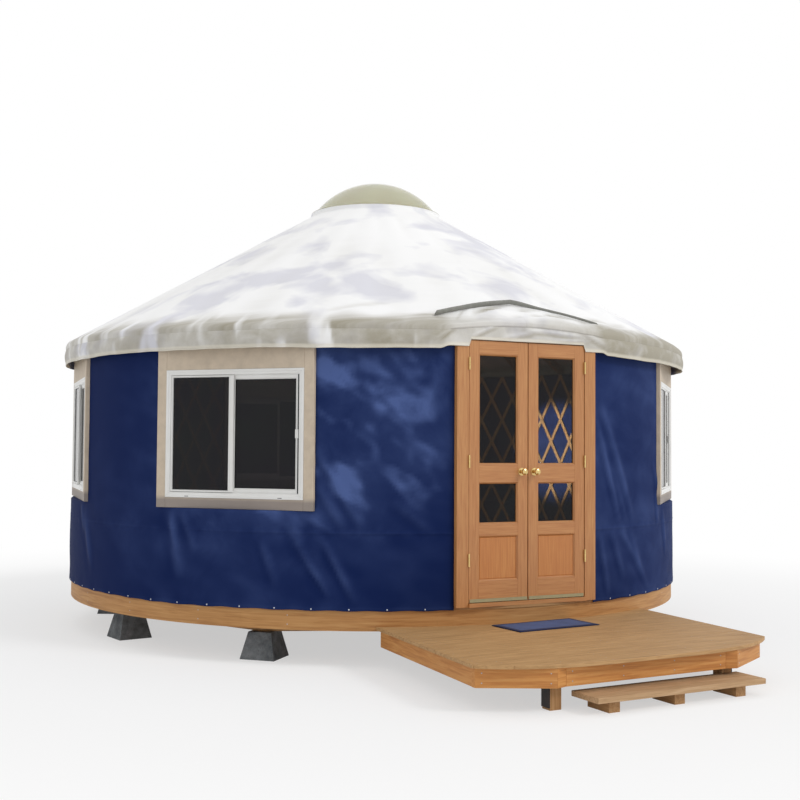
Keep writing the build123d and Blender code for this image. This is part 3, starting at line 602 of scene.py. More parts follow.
@dataclass(frozen=True)
class Fold:
    """A crease in stretched cloth between two points, in metres along the cloth and up it."""

    start: tuple[float, float]
    end: tuple[float, float]
    width: float = 0.045
    depth: float = 0.010

    def lift(self, along: float, up: float) -> float:
        """Height of the crease's ridge, with a shallow furrow beside it.

        Args:
            along: Metres along the cloth.
            up: Metres up the cloth.

        Returns:
            Metres out of the cloth.
        """
        run, rise = self.end[0] - self.start[0], self.end[1] - self.start[1]
        length = hypot(run, rise)
        share = ((along - self.start[0]) * run + (up - self.start[1]) * rise) / length**2
        if not 0.0 < share < 1.0:
            return 0.0
        off = ((along - self.start[0]) * rise - (up - self.start[1]) * run) / length / self.width
        if abs(off) > 4:
            return 0.0
        fade = (4 * share * (1 - share)) ** 0.8
        return self.depth * fade * (exp(-off * off) - 0.55 * exp(-((off - 1.4) ** 2)))


@dataclass
class ClothPoint:
    """A point of a cloth: its place, its place on the flat cloth, how soiled it is and how much painted light and shade
    it takes, and how seamed it is there.
    """

    at: Vector
    along: float
    up: float
    soil_and_shade: float = 0.0
    seam: float = 0.0


@dataclass
class ClothGrid:
    """A cloth laid out in columns and rows, with each row above the last and the columns going round."""

    name: str
    columns: list[float]
    rows: list[float]
    point: Callable[[float, float], ClothPoint]
    skip: Callable[[float, float], bool] = lambda along, up: False
    closed: bool = False
    thickness: float = 0.002

    def build(self, material: Material) -> Object:
        """Builds the cloth as a mesh with its thickness.

        Args:
            material: Finish of the cloth.

        Returns:
            The cloth's object, with a live Solidify modifier.
        """
        rows, columns = self.rows, self.columns
        wide = len(columns)
        points = [self.point(column, row) for row in rows for column in columns]
        faces = []
        for j in range(len(rows) - 1):
            for i in range(wide if self.closed else wide - 1):
                after = (i + 1) % wide
                middle = (columns[i] + columns[after]) / 2 if after else columns[i]
                if not self.skip(middle, (rows[j] + rows[j + 1]) / 2):
                    faces.append((j * wide + i, j * wide + after, (j + 1) * wide + after, (j + 1) * wide + i))
        used = sorted({index for face in faces for index in face})
        new = {old: i for i, old in enumerate(used)}
        kept = [points[i] for i in used]
        values = {
            "cloth": [(point.along, point.up, 0.0) for point in kept],
            "soil_and_shade": [point.soil_and_shade for point in kept],
            "seam": [point.seam for point in kept],
        }
        shapes = [[new[i] for i in face] for face in faces]
        piece = add_piece(self.name, [point.at for point in kept], shapes, material, values)
        wall = piece.modifiers.new("thickness", "SOLIDIFY")
        wall.thickness = self.thickness
        wall.offset = -1.0
        return piece


@dataclass
class Boards:
    """Boards gathered into one mesh, each with its grain along its length and its edges eased."""

    name: str
    ease: float = 0.0025
    seed: int = 3
    corners: list[Vector] = field(default_factory=list)
    faces: list[tuple[int, ...]] = field(default_factory=list)
    grain: list[list[float]] = field(default_factory=list)

    def _start(self) -> Vector:
        """Place in the wood at which the next board starts."""
        dice = random.Random(self.seed * 1000 + len(self.faces))
        return Vector((dice.uniform(0, 60), dice.uniform(0, 9), dice.uniform(0, 9)))

    def _add(self, ends: Sequence[Sequence[Vector]], order: Sequence[int], place: Matrix, mitred: bool) -> None:
        """Adds a closed shape between two outlines of as many points.

        Args:
            ends: The two outlines.
            order: Axes along the grain, across it and through it.
            place: Turn and shift of the shape.
            mitred: Whether the outlines are a moulding's ends, which face the other way.
        """
        start, first, count = self._start(), len(self.corners), len(ends[0])
        for spot in (*ends[0], *ends[1]):
            self.grain.append([spot[axis] + start[i] for i, axis in enumerate(order)])
            self.corners.append(place @ spot)
        low, high = range(first, first + count), range(first + count, first + 2 * count)
        self.faces += [tuple(cap) for cap in ((low, reversed(high)) if mitred else (reversed(low), high))]
        for a, b in zip(low, (*low[1:], first)):
            self.faces.append((a, a + count, b + count, b) if mitred else (a, b, b + count, a + count))

    def prism(self, outline: Sequence[tuple[float, float]], bottom: float, top: float, along: int = 0,
              place: Matrix = Matrix()) -> None:
        """Adds a board of any outline, counter-clockwise from above, with its grain along an axis."""
        ends = [[Vector((x, y, level)) for x, y in outline] for level in (bottom, top)]
        self._add(ends, (along, (along + 1) % 3, (along + 2) % 3), place, False)

    def plank(self, outline: Sequence[tuple[float, float]], bottom: float, top: float,
              place: Matrix = Matrix()) -> None:
        """Adds a board whose grain runs along the first edge of its outline.

        Args:
            outline: Plan points, counter-clockwise seen from above.
            bottom: Its underside.
            top: Its top.
            place: Turn and shift of the board.
        """
        corners = [Vector((x, y, 0)) for x, y in outline]
        turn = (corners[1] - corners[0]).to_track_quat("X", "Z").to_matrix().to_4x4()
        turn.translation = corners[0]
        flat = [turn.inverted() @ corner for corner in corners]
        self.prism([(p.x, p.y) for p in flat], bottom, top, 0, place @ turn)

    def box(self, x: Sequence[float], y: Sequence[float], z: Sequence[float], along: int,
            place: Matrix = Matrix()) -> None:
        """Adds a straight board between pairs of limits, with its grain along an axis."""
        (x0, x1), (y0, y1), (z0, z1) = sorted(x), sorted(y), sorted(z)
        self.prism(((x0, y0), (x1, y0), (x1, y1), (x0, y1)), z0, z1, along, place)

    def frame(self, x: Sequence[float], z: Sequence[float], profile: Sequence[tuple[float, float]], front: float,
              place: Matrix = Matrix(), inwards: int = 1) -> None:
        """Adds four mitred lengths of moulding round an upright opening.

        Args:
            x: The opening's sides.
            z: Its bottom and top.
            profile: Section as distances in from the opening's edge and back from the face.
            front: Place of the face along Y.
            place: Turn and shift of the frame.
            inwards: 1 where the moulding goes back from the face along +Y, and -1 where it goes along -Y.
        """
        (x0, x1), (z0, z1) = sorted(x), sorted(z)
        corners = ((x0, z0, 1, 1), (x1, z0, -1, 1), (x1, z1, -1, -1), (x0, z1, 1, -1))
        for side in range(4):
            along = 0 if side % 2 == 0 else 2
            ends = [[Vector((cx + way_x * inset, front + inwards * depth, cz + way_z * inset))
                     for inset, depth in profile]
                    for cx, cz, way_x, way_z in (corners[side], corners[(side + 1) % 4])]
            self._add(ends, (along, 2 - along, 1), place, True)

    def build(self, material: Material) -> Object:
        """Builds the mesh with eased edges.

        Args:
            material: Finish of the boards.

        Returns:
            The boards as one object, with a live Bevel modifier.
        """
        piece = add_piece(self.name, self.corners, self.faces, material, {"grain": self.grain}, turned_out=True)
        eased = piece.modifiers.new("eased edges", "BEVEL")
        eased.width = self.ease
        eased.segments = 2
        eased.limit_method = "ANGLE"
        eased.angle_limit = radians(30)
        eased.harden_normals = True
        return piece


@dataclass
class Wall:
    """The wall's cloth: stretched round the lattice, cut at doorway and windows, with one level seam."""

    house: House
    seam_height: float = 1.04
    seam_half: float = 0.006
    hem: float = 0.035
    snap_spacing: float = 0.295
    cell: float = 0.0235
    tuck: float = 0.008
    folds: dict[int, list[Fold]] = field(default_factory=dict)

    def __post_init__(self) -> None:
        """Lays out the creases: those by the doorway as they hang there, and slanting ones under each window."""
        by_door = [
            Fold((0.74, 2.12), (1.25, 1.06), 0.038, 0.015),
            Fold((0.70, 1.95), (1.03, 1.06), 0.032, 0.012),
            Fold((0.88, 1.72), (1.14, 1.06), 0.034, 0.007),
            Fold((1.02, 1.04), (1.52, 0.50), 0.034, 0.013),
            Fold((0.74, 1.02), (0.87, 0.46), 0.030, 0.011),
            Fold((0.90, 1.03), (1.09, 0.60), 0.034, 0.009),
            Fold((1.18, 1.03), (1.37, 0.66), 0.036, 0.008),
            Fold((-0.70, 2.44), (-0.98, 1.86), 0.050, 0.008),
            Fold((-1.76, 1.72), (-1.36, 1.04), 0.034, 0.011),
            Fold((-1.74, 1.42), (-1.50, 1.05), 0.036, 0.009),
            Fold((-1.91, 0.99), (-1.62, 0.54), 0.030, 0.012),
            Fold((-1.70, 1.02), (-1.42, 0.50), 0.032, 0.012),
            Fold((-2.19, 1.00), (-2.04, 0.60), 0.036, 0.008),
            Fold((-1.79, 1.16), (-1.60, 1.04), 0.030, 0.007),
            Fold((-1.15, 1.30), (-0.84, 1.05), 0.045, 0.008),
        ]
        self.folds = {way: [fold for fold in by_door if fold.start[0] * way > 0] for way in (1, -1)}
        dice = random.Random(11)
        radius, half = self.house.wall_radius, self.house.surround_half
        bottom = self.house.surround_bottom
        for azimuth in self.house.window_azimuths:
            centre = radians(azimuth) * radius
            for side in (-1, 1):
                way = 1 if centre + side * half > 0 or abs(azimuth) > 170 and side < 0 else -1
                for _ in range(4):
                    along = centre + side * (half + dice.uniform(-0.25, 0.12))
                    if azimuth > 170 and side > 0:
                        along -= 2 * pi * radius
                    high = bottom - 0.02 if abs(along - centre) < half else bottom + dice.uniform(0, 0.5)
                    length = dice.uniform(0.25, 0.6)
                    lean = dice.uniform(0.15, 0.5)
                    end = (along + lean * length, max(high - length, 0.48))
                    self.folds[way].append(
                        Fold((along, high), end, dice.uniform(0.03, 0.055), dice.uniform(0.004, 0.010)))

    def relief(self, along: float, up: float) -> float:
        """How far the cloth stands out from its round, in metres.

        Args:
            along: Metres round the wall from the doorway.
            up: Height.

        Returns:
            Metres out.
        """
        house = self.house
        out = 0.0022 * ripple(along, up, 1, 0.5) + 0.0012 * ripple(along, up, 2, 0.13)
        out += sum(fold.lift(along, up) for fold in self.folds[1 if along > 0 else -1])
        pull = smooth(up, house.wall_bottom + 0.16, house.wall_bottom)
        out += 0.0035 * pull * abs(sin(pi * along / self.snap_spacing))
        near_seam = exp(-((up - self.seam_height) / 0.05) ** 2)
        out += 0.0028 * near_seam * ripple(along, up, 3, 0.05)
        if abs(up - self.seam_height) < self.seam_half + 0.002:
            out += 0.0014
        if up < house.wall_bottom + self.hem:
            out += 0.0012
        return max(-0.003, out)

    def point(self, along: float, up: float) -> ClothPoint:
        """Shapes a point of the cloth, and soils it with paler dust patches that also carry painted sunlight, painted
        highlight on fold ridges, and painted shade low down and on the left.

        Args:
            along: Metres round the wall from the doorway.
            up: Height.

        Returns:
            The point.
        """
        house = self.house
        relief = self.relief(along, up)
        radius = house.wall_radius + relief
        azimuth = degrees(along / house.wall_radius)
        level = up
        lowest = smooth(up, house.wall_bottom + 0.05, house.wall_bottom)
        level += 0.006 * lowest * sin(pi * along / self.snap_spacing) ** 2
        level -= 0.010 * lowest * smooth(ripple(along, 0, 5, 1.3), -0.2, 0.8)
        for window in house.window_azimuths:
            away = abs(wrapped(azimuth - window))
            turn = radians(away)
            under = away < 45 and tan(turn) * house.surround_face < house.surround_half
            if under and up > house.surround_bottom - self.tuck:
                flat = (house.surround_face - 0.012) / cos(turn)
                if flat < radius:
                    share = (up - house.surround_bottom + self.tuck) / self.tuck
                    radius += (flat - radius) * (1 - sqrt(max(0.0, 1 - share * share)))
        # Painted sunlight: paler dappled patches on the wall between the left window and the doorway.
        painted_sun = smooth(azimuth, -66.0, -44.0) * smooth(azimuth, -8.0, -26.0) * smooth(up, 0.9, 1.5)
        soil_and_shade = 0.12 + 0.14 * ripple(along, up, 8, 0.9) + 0.10 * ripple(along + up, 2 * up, 9, 0.28)
        # Painted shade: darker towards the bottom of the wall.
        soil_and_shade -= 0.08 * smooth(up, house.wall_bottom + 0.55, house.wall_bottom)
        patch = ripple(along + 0.6 * up, up, 10, 0.27) + 0.45 * ripple(along + 0.6 * up, up, 13, 0.10)
        soil_and_shade += painted_sun * (0.16 + 0.90 * smooth(patch, -0.10, 0.60))
        soil_and_shade += 0.10 * smooth(azimuth, 0.0, 30.0)
        # Painted shade: darker on the left and round the back.
        soil_and_shade *= 0.3 + 0.7 * smooth(azimuth, -85.0, -50.0) * smooth(azimuth, 150.0, 110.0)
        # Painted highlight on the folds' ridges, and painted shade in their furrows.
        soil_and_shade += 20 * (relief - 0.002)
        on_seam = abs(up - self.seam_height) < self.seam_half
        return ClothPoint(plan_point(azimuth, radius, level), along, up, max(0.0, soil_and_shade), 1.0 if on_seam else 0.0)

    def in_window(self, along: float, up: float) -> bool:
        """Whether a place lies in the opening of a window with its surround.

        Args:
            along: Metres round the wall from the doorway.
            up: Height.

        Returns:
            True in an opening.
        """
        house = self.house
        if up < house.surround_bottom:
            return False
        azimuth = degrees(along / house.wall_radius)
        edge = degrees(asin((house.surround_half + house.seat) / house.wall_radius))
        return any(abs(wrapped(azimuth - window)) < edge for window in house.window_azimuths)

    def build(self, material: Material) -> None:
        """Builds the left and the right cloth, which meet under the window at the back.

        Args:
            material: Finish of the cloth.
        """
        house = self.house
        radius = house.wall_radius
        edge = asin((house.surround_half + house.seat) / radius) * radius
        jamb = asin((house.frame_half + house.seat) / radius) * radius
        back = pi * radius
        window_edges = [radians(azimuth) * radius + side * edge
                        for azimuth in house.window_azimuths for side in (-1, 1)]
        rows = joined(
            steps(house.wall_bottom, house.wall_bottom + self.hem, 0.012),
            steps(house.wall_bottom + self.hem + 0.002, self.seam_height - self.seam_half - 0.003, self.cell),
            (self.seam_height - self.seam_half, self.seam_height + self.seam_half),
            steps(self.seam_height + self.seam_half + 0.003, house.surround_bottom - self.tuck, self.cell),
            [house.surround_bottom - self.tuck * (1 - sin(radians(a))) for a in (30, 55, 72, 84, 90)],
            steps(house.surround_bottom, house.wall_head, self.cell),
        )
        for side, name in ((-1, "left"), (1, "right")):
            low, high = (jamb, back) if side > 0 else (-back, -jamb)
            marks = [low, high] + [m for m in window_edges if low < m < high]
            marks += [m - 2 * back for m in window_edges if low < m - 2 * back < high]
            marks.sort()
            columns = joined(*[steps(a, b, self.cell) for a, b in zip(marks, marks[1:])])
            grid = ClothGrid(f"wall_cloth_{name}", columns, rows, self.point, self.in_window)
            piece = grid.build(material)
            openings = [w for w in house.window_azimuths if abs(w) < 170 and w * side > 0]
            nodes = [f"{place}_{name}_cover" for place in ("front", "side", "rear", "back")]
            if side > 0:
                nodes.append("under_window_covers")
            dress(piece, "wall_fabric", *nodes)


@dataclass
class Eave:
    """The outline of the roof's lower edge: a circle, with a straight stretch over the doorway."""

    house: House
    blend: float = 220.0

    def reach(self, azimuth: float) -> float:
        """Radius of the edge at an azimuth, eased where the circle meets the straight stretch.

        Args:
            azimuth: Place on the edge.

        Returns:
            The radius.
        """
        turn = radians(wrapped(azimuth))
        circle = self.house.eave_radius
        if cos(turn) < 0.5:
            return circle
        straight = self.house.flap_face / cos(turn)
        if straight > circle + 0.2:
            return circle
        return -log(exp(-self.blend * (straight - circle)) + 1.0) / self.blend + circle

    def over_door(self, azimuth: float) -> float:
        """1 over the middle of the doorway, easing to 0 past its corners."""
        across = self.reach(azimuth) * sin(radians(azimuth))
        return smooth(abs(across), 0.80, 0.66) if cos(radians(azimuth)) > 0 else 0.0

    def outwards(self, azimuth: float) -> Vector:
        """Level direction out of the edge at an azimuth.

        Args:
            azimuth: Place on the edge.

        Returns:
            The direction, of length 1.
        """
        step = 0.4
        before = plan_point(azimuth - step, self.reach(azimuth - step))
        after = plan_point(azimuth + step, self.reach(azimuth + step))
        run = (after - before).normalized()
        return Vector((run.y, -run.x, 0.0))

    def grime_and_shade(self, azimuth: float, level: float) -> float:
        """How soiled and shaded the cloth is about the edge: rain marks that run down it, with clean streaks between,
        and painted shade that is heavier right of the doorway and more even over the doors.

        Args:
            azimuth: Place on the edge.
            level: Height.

        Returns:
            The soil with its painted shade, from 0 to about 1.
        """
        spot = plan_point(azimuth, self.house.eave_radius, level * 0.3)
        streak = cloud(spot, 41, 0.17) + 0.5 * cloud(spot, 42, 0.07)
        turn, door = wrapped(azimuth), self.over_door(azimuth)
        # Painted shade: heavier to the right of the doorway, and even over the doors.
        wear_and_painted_light = 0.88 + 0.20 * sin(radians(turn))
        whole = 0.95 * smooth(turn, 0, 40) * smooth(turn, 150, 110) + 0.8 * door
        return wear_and_painted_light * smooth(streak, -0.62 - whole, -0.12 - whole) * (1 - 0.38 * door)

    def slump(self, azimuth: float) -> float:
        """How much the edge is puffed out and sunk at an azimuth, most on the right of the doorway.

        Args:
            azimuth: Place on the edge.

        Returns:
            The share, from 0 to about 1.
        """
        turn = wrapped(azimuth)
        right = exp(-((turn - 48) / 16) ** 2)
        left = 0.35 * exp(-((turn + 100) / 25) ** 2)
        return right + left + 0.25 * max(0.0, ripple(azimuth / 30, 0, 4, 1.0))


@dataclass
class Roof:
    """The roof's cloth: drawn over the dome's rim, the ring and the rafters, and rounded over the eave."""

    house: House
    eave: Eave
    rafters: int = 32
    sag: float = 0.010
    shoulder: float = 0.055
    skirt: float = 0.03
    columns: int = 640
    cell: float = 0.036
    straight_from: float = 2.96
    over_ring: Profile = ((0.0285, -0.013), (0.0276, 0.002), (0.0272, 0.0235))
    folds: tuple[Fold, ...] = (
        Fold((-0.62, 2.95), (-0.40, 2.74), 0.020, 0.010),
        Fold((-0.45, 2.93), (0.05, 2.72), 0.045, 0.018),
        Fold((-0.15, 2.95), (0.62, 2.84), 0.040, 0.018),
        Fold((-0.35, 2.86), (0.30, 2.80), 0.035, 0.012),
        Fold((0.20, 2.96), (0.80, 2.90), 0.035, 0.014),
        Fold((0.55, 2.92), (1.05, 2.72), 0.050, 0.014),
        Fold((0.85, 2.90), (1.35, 2.62), 0.055, 0.012),
        Fold((-1.10, 2.80), (-0.66, 2.95), 0.045, 0.010),
        Fold((-1.60, 2.50), (-1.00, 2.62), 0.060, 0.008),
    )

    def crease(self, spot: Vector) -> float:
        """How far the folds over the doorway lift the cloth at a place."""
        return sum(fold.lift(spot.x, -spot.y) for fold in self.folds) if spot.y < -1.5 else 0.0

    def relief(self, azimuth: float, radius: float) -> float:
        """How far the cloth stands off the straight line of the roof, in metres.

        Args:
            azimuth: Place round the roof.
            radius: Distance out from the middle.

        Returns:
            Metres up off the line.
        """
        house = self.house
        ring = smooth(radius, house.ring_radius + 0.03, house.ring_radius + 0.35)
        between = 0.5 + 0.5 * cos(radians(azimuth * self.rafters))
        free = ring * between * (radius / house.eave_radius) ** 0.7
        spot = plan_point(azimuth, radius)
        out = -self.sag * free + (0.25 * ring + 0.75 * free) * (
            0.010 * ripple(spot.x, spot.y, 6, 0.55) + 0.004 * ripple(spot.x, spot.y, 7, 0.19))
        return max(-0.0036 - 0.022 * free, out + self.crease(spot))

    def section(self, azimuth: float) -> list[tuple[float, float, float, float]]:
        """Points from the skirt up to the ring.

        Args:
            azimuth: Where the section is cut.

        Returns:
            For each point its radius, height, and the outward part and upward part of its normal.
        """
        house = self.house
        reach = self.eave.reach(azimuth)
        puff = self.eave.slump(azimuth) * (1 - self.eave.over_door(azimuth))
        bend = self.shoulder * (1 - 0.45 * self.eave.over_door(azimuth)) + 0.02 * puff
        out = reach + 0.035 * puff
        pitch = radians(house.roof_pitch)
        centre = house.roof_height(out - bend) - bend / cos(pitch)
        points = [(out, centre - self.skirt, 1.0, 0.0), (out, centre - self.skirt / 2, 1.0, 0.0)]
        for i in range(7):
            turn = (pi / 2 - pitch) * i / 6
            points.append((out - bend + bend * cos(turn), centre + bend * sin(turn), cos(turn), sin(turn)))
        top = points[-1][0]
        last = house.ring_radius + 0.05
        count = round((self.straight_from - last) / self.cell)
        for i in range(1, count + 1):
            radius = top + (last - top) * i / count
            points.append((radius, house.roof_height(radius), sin(pitch), cos(pitch)))
        for past, up in self.over_ring:
            points.append((house.ring_radius + past, house.ring_top + up, 1.0, 0.0))
        return points

    def build(self, material: Material) -> None:
        """Builds the cloth.

        Args:
            material: Finish of the cloth.
        """
        house = self.house
        azimuths = [i * 360 / self.columns for i in range(self.columns)]
        sections = {azimuth: self.section(azimuth) for azimuth in azimuths}
        normals = {azimuth: self.eave.outwards(azimuth) for azimuth in azimuths}
        count = len(sections[0.0])
        eave_line = house.roof_height(house.eave_radius)

        def point(azimuth: float, row: float) -> ClothPoint:
            """Shapes a point of the cloth and soils it, with painted shade in its furrows and towards the eave.

            Args:
                azimuth: Its column.
                row: Its row, up from the skirt.

            Returns:
                The point.
            """
            radius, height, out, up = sections[azimuth][round(row)]
            spot = plan_point(azimuth, radius, height)
            rise = self.relief(azimuth, radius) * smooth(row, 2, 12)
            wave = ripple(radians(azimuth) * radius, row / 20, 12, 0.35)
            drape = 0.006 * smooth(row, 9, 2) * smooth(row, 0, 3) * (0.4 + 0.6 * wave)
            drape *= 1 - 0.7 * self.eave.over_door(azimuth)
            away = normals[azimuth] * out + Vector((0, 0, up))
            spot += away * (rise + drape)
            spread = radius / cos(radians(house.roof_pitch))
            arc = radians(azimuth) * radius
            upper = eave_line + 0.12 + 0.06 * ripple(spot.x, spot.y, 15, 0.22)
            # Painted shade in the furrows where the cloth sags between the rafters.
            soil_and_shade = 0.02 + 0.08 * ripple(spot.x, spot.y, 14, 0.7) + 9.0 * max(0.0, -rise - 0.003)
            soil_and_shade += self.eave.grime_and_shade(azimuth, height) * smooth(height, upper, eave_line + 0.01)
            # Painted shade in the furrows of the folds over the doorway.
            soil_and_shade += 90.0 * max(0.0, -self.crease(spot) - 0.0009)
            return ClothPoint(spot, arc, spread, max(0.0, soil_and_shade))

        grid = ClothGrid("roof_cloth", azimuths, [float(i) for i in range(count)], point, closed=True)
        piece = dress(grid.build(material), "roof_fabric", "roof_cover")
        pitch = cos(radians(house.roof_pitch))


@dataclass
class Valance:
    """The cloth that hangs round the eave, with the shorter stretch over the doors and a corded hem."""

    house: House
    eave: Eave
    roof: Roof
    cord: float = 0.005
    over_jamb: float = 2.503
    columns: int = 960
    rows: int = 11
    hem_rows: int = 6
    drop: float = 0.21
    folds: tuple[Fold, ...] = (
        Fold((-0.56, 2.575), (-0.26, 2.700), 0.016, 0.010),
        Fold((-0.30, 2.570), (0.12, 2.660), 0.018, 0.010),
        Fold((-0.08, 2.665), (0.58, 2.625), 0.016, 0.012),
        Fold((0.16, 2.575), (0.62, 2.600), 0.014, 0.008),
        Fold((0.48, 2.690), (0.78, 2.560), 0.020, 0.010),
        Fold((-0.86, 2.540), (-0.66, 2.690), 0.020, 0.009),
    )

    def bottom(self, azimuth: float) -> float:
        """Level of the hem at an azimuth.

        Args:
            azimuth: Place on the edge.

        Returns:
            The height.
        """
        turn = wrapped(azimuth)
        droop = 0.010 * ripple(turn / 14, 0, 21, 1.0) + 0.004 * ripple(turn / 4, 0, 22, 1.0)
        level = self.house.valance_bottom + droop - 0.022 * self.eave.slump(azimuth)
        across = self.eave.reach(azimuth) * sin(radians(turn))
        if abs(turn) < 30:
            level += (self.over_jamb - level) * smooth(abs(across), 0.80, 0.72)
            if abs(across) < self.house.opening_half + 0.004:
                level = self.house.flap_bottom
        return level

    def build(self, material: Material) -> None:
        """Builds the cloth as one ring.

        Args:
            material: Finish of the cloth.
        """
        house = self.house
        jump = degrees(asin((house.opening_half + 0.006) / house.flap_face))
        marks = [i * 360 / self.columns for i in range(self.columns)]
        marks += [jump - 0.12, jump + 0.02, 360 - jump + 0.12, 360 - jump - 0.02]
        azimuths = joined(marks)
        sections = {azimuth: self.roof.section(azimuth) for azimuth in azimuths}
        hems = {azimuth: self.bottom(azimuth) for azimuth in azimuths}
        normals = {azimuth: self.eave.outwards(azimuth) for azimuth in azimuths}

        def point(azimuth: float, row: float) -> ClothPoint:
            """Shapes a point of the cloth and soils it, with painted shade in the folds' furrows and painted highlight
            on their ridges.

            Args:
                azimuth: Its column.
                row: Its row, up from the hem.

            Returns:
                The point.
            """
            reach, skirt_end, _, _ = sections[azimuth][0]
            door = self.eave.over_door(azimuth)
            top, low = skirt_end + 0.02, hems[azimuth]
            arc = radians(wrapped(azimuth)) * reach
            if row < self.hem_rows:
                turn = pi * (row / (self.hem_rows - 1) - 0.5)
                level = low + self.cord + self.cord * sin(turn)
                out = self.cord * cos(turn)
                share = 0.0
            else:
                share = (row - self.hem_rows + 1) / self.rows
                level = low + 2 * self.cord + (top - low - 2 * self.cord) * share
                out = 0.0
            hang = 1 - share
            wrinkle = 0.007 * ripple(arc, level, 31, 0.28) + 0.004 * ripple(arc, level * 0.4, 32, 0.10)
            wrinkle += 0.004 * ripple(arc, level, 33, 0.6)
            bulge = 0.014 * sin(pi * min(1.0, share)) * (1 - door)
            out += (wrinkle * (1 - 0.5 * door) + 0.003) * hang + bulge - 0.0035
            folds = self.folds if abs(arc) < 1 else ()
            crease = sum(fold.lift(arc, level) for fold in folds) * smooth(share, 1.0, 0.7)
            out += crease
            if door > 0.5:
                out = max(out, -0.003)
            spot = plan_point(azimuth, reach, level) + normals[azimuth] * out
            soil_and_shade = self.eave.grime_and_shade(azimuth, level) * (1.0 + 0.2 * ripple(arc, level, 41, 0.3))
            # Painted shade in the folds' furrows, and painted highlight on their ridges.
            soil_and_shade += 70.0 * max(0.0, -crease - 0.0005) - 30.0 * max(0.0, crease - 0.002)
            return ClothPoint(spot, arc, level, max(0.0, soil_and_shade), 0.55 if row < self.hem_rows + 1 else 0.0)

        rows = [float(i) for i in range(self.hem_rows + self.rows)]
        grid = ClothGrid("valance_cloth", azimuths, rows, point, closed=True, thickness=0.0016)
        piece = dress(grid.build(material), "eave_fabric", "roof_valance", "door_flap")


@dataclass
class Diverter:
    """The padded strip on the roof that turns rain aside from the doorway, bent at its middle."""

    house: House
    half: float = 0.783
    foot: float = 2.828
    rise: float = 0.158
    width: float = 0.028
    height: float = 0.041
    around: int = 14

    def build(self, material: Material) -> None:
        """Builds the strip as a tube that swells and narrows a little along its length.

        Args:
            material: Finish of the strip.
        """
        house = self.house
        pitch = radians(house.roof_pitch)
        stations = steps(-self.half, self.half, 0.02)
        around = self.around
        corners, faces = [], []
        for i, x in enumerate(stations):
            y = -(self.foot - self.rise * (1 - abs(x) / self.half)) + 0.004 * ripple(x, 0, 51, 0.3)
            radius = hypot(x, y)
            out = Vector((x, y, 0)) / radius
            away = out * sin(pitch) + Vector((0, 0, cos(pitch)))
            downhill = out * cos(pitch) - Vector((0, 0, sin(pitch)))
            end = min(1.0, (self.half - abs(x)) / 0.02 + 0.35)
            size = end * (1.0 - 0.50 * smooth(x, -0.05, 0.30) + 0.10 * ripple(x, 1, 52, 0.16))
            base = Vector((x, y, house.roof_height(radius))) - away * 0.003
            for j in range(around):
                turn = 2 * pi * j / around
                across = cos(turn) * self.width / 2 * size
                up = self.height / 2 * size * (1 + copysign(abs(sin(turn)) ** 0.8, sin(turn)))
                corners.append(base + downhill * across + away * up)
            if i:
                for j in range(around):
                    after = (j + 1) % around
                    first = (i - 1) * around
                    faces.append((first + j, first + around + j, first + around + after, first + after))
        faces.append(tuple(range(around)))
        faces.append(tuple(reversed(range(len(corners) - around, len(corners)))))
        piece = add_piece("rain_diverter_strip", corners, faces, material, turned_out=True)
        dress(piece, "diverter", "rain_diverter")


@dataclass
class Door:
    """One of the two doors: stiles and rails joined round two panes and a panel, with beads round each."""

    side: int
    face: float = 2.966
    thickness: float = 0.044
    free: float = 0.004
    hung: float = 0.542
    stile: float = 0.090
    bottom: float = 0.500
    top: float = 2.553
    openings: tuple[tuple[float, float, float], ...] = (
        (1.576, 2.448, 0.0187), (1.108, 1.434, 0.0187), (0.665, 1.014, 0.0167),
    )
    rail_inset: float = 0.0003
    knob_in: float = 0.056
    knob_up: float = 1.018
    rose_face: float = 0.0055
    rose_screw: float = 0.022

    @property
    def name(self) -> str:
        """Name of the door's body."""
        return "right_door" if self.side > 0 else "left_door"

    def build(self, material: Material) -> None:
        """Builds the door's wooden leaf.

        Args:
            material: Finish of the wood.
        """
        boards = Boards(f"{self.name}_leaf", ease=0.0016, seed=20 + self.side)
        front, back = -self.face, -self.face + self.thickness
        inner = (self.free + self.stile, self.hung - self.stile)
        for x in ((self.free, inner[0]), (inner[1], self.hung)):
            boards.box([v * self.side for v in x], (front, back), (self.bottom, self.top), along=2)
        levels = [self.top, *(level for low, high, _ in self.openings for level in (high, low)), self.bottom]
        rail_x = [v * self.side for v in inner]
        for high, low in zip(levels[::2], levels[1::2]):
            boards.box(rail_x, (front + self.rail_inset, back - self.rail_inset), (low, high), along=0)
        x0, x1 = sorted(rail_x)
        for low, high, depth in self.openings:
            bead = ((0.0, 0.002), (0.003, 0.002), (0.006, 0.006), (0.011, 0.011), (0.012, depth), (0.0, depth))
            boards.frame((x0, x1), (low, high), bead, front)
            boards.frame((x0, x1), (low, high), bead, back, inwards=-1)
        dress(boards.build(material), "door_wood", self.name, body=self.name)

    def screws(self) -> Spots:
        """Places of the screws through the rose of the outer knob."""
        x, z = self.side * (self.free + self.knob_in), self.bottom + self.knob_up
        return [(Vector((x, -self.face - self.rose_face, z + way * self.rose_screw)), Vector((0, -1, 0)))
                for way in (-1, 1)]


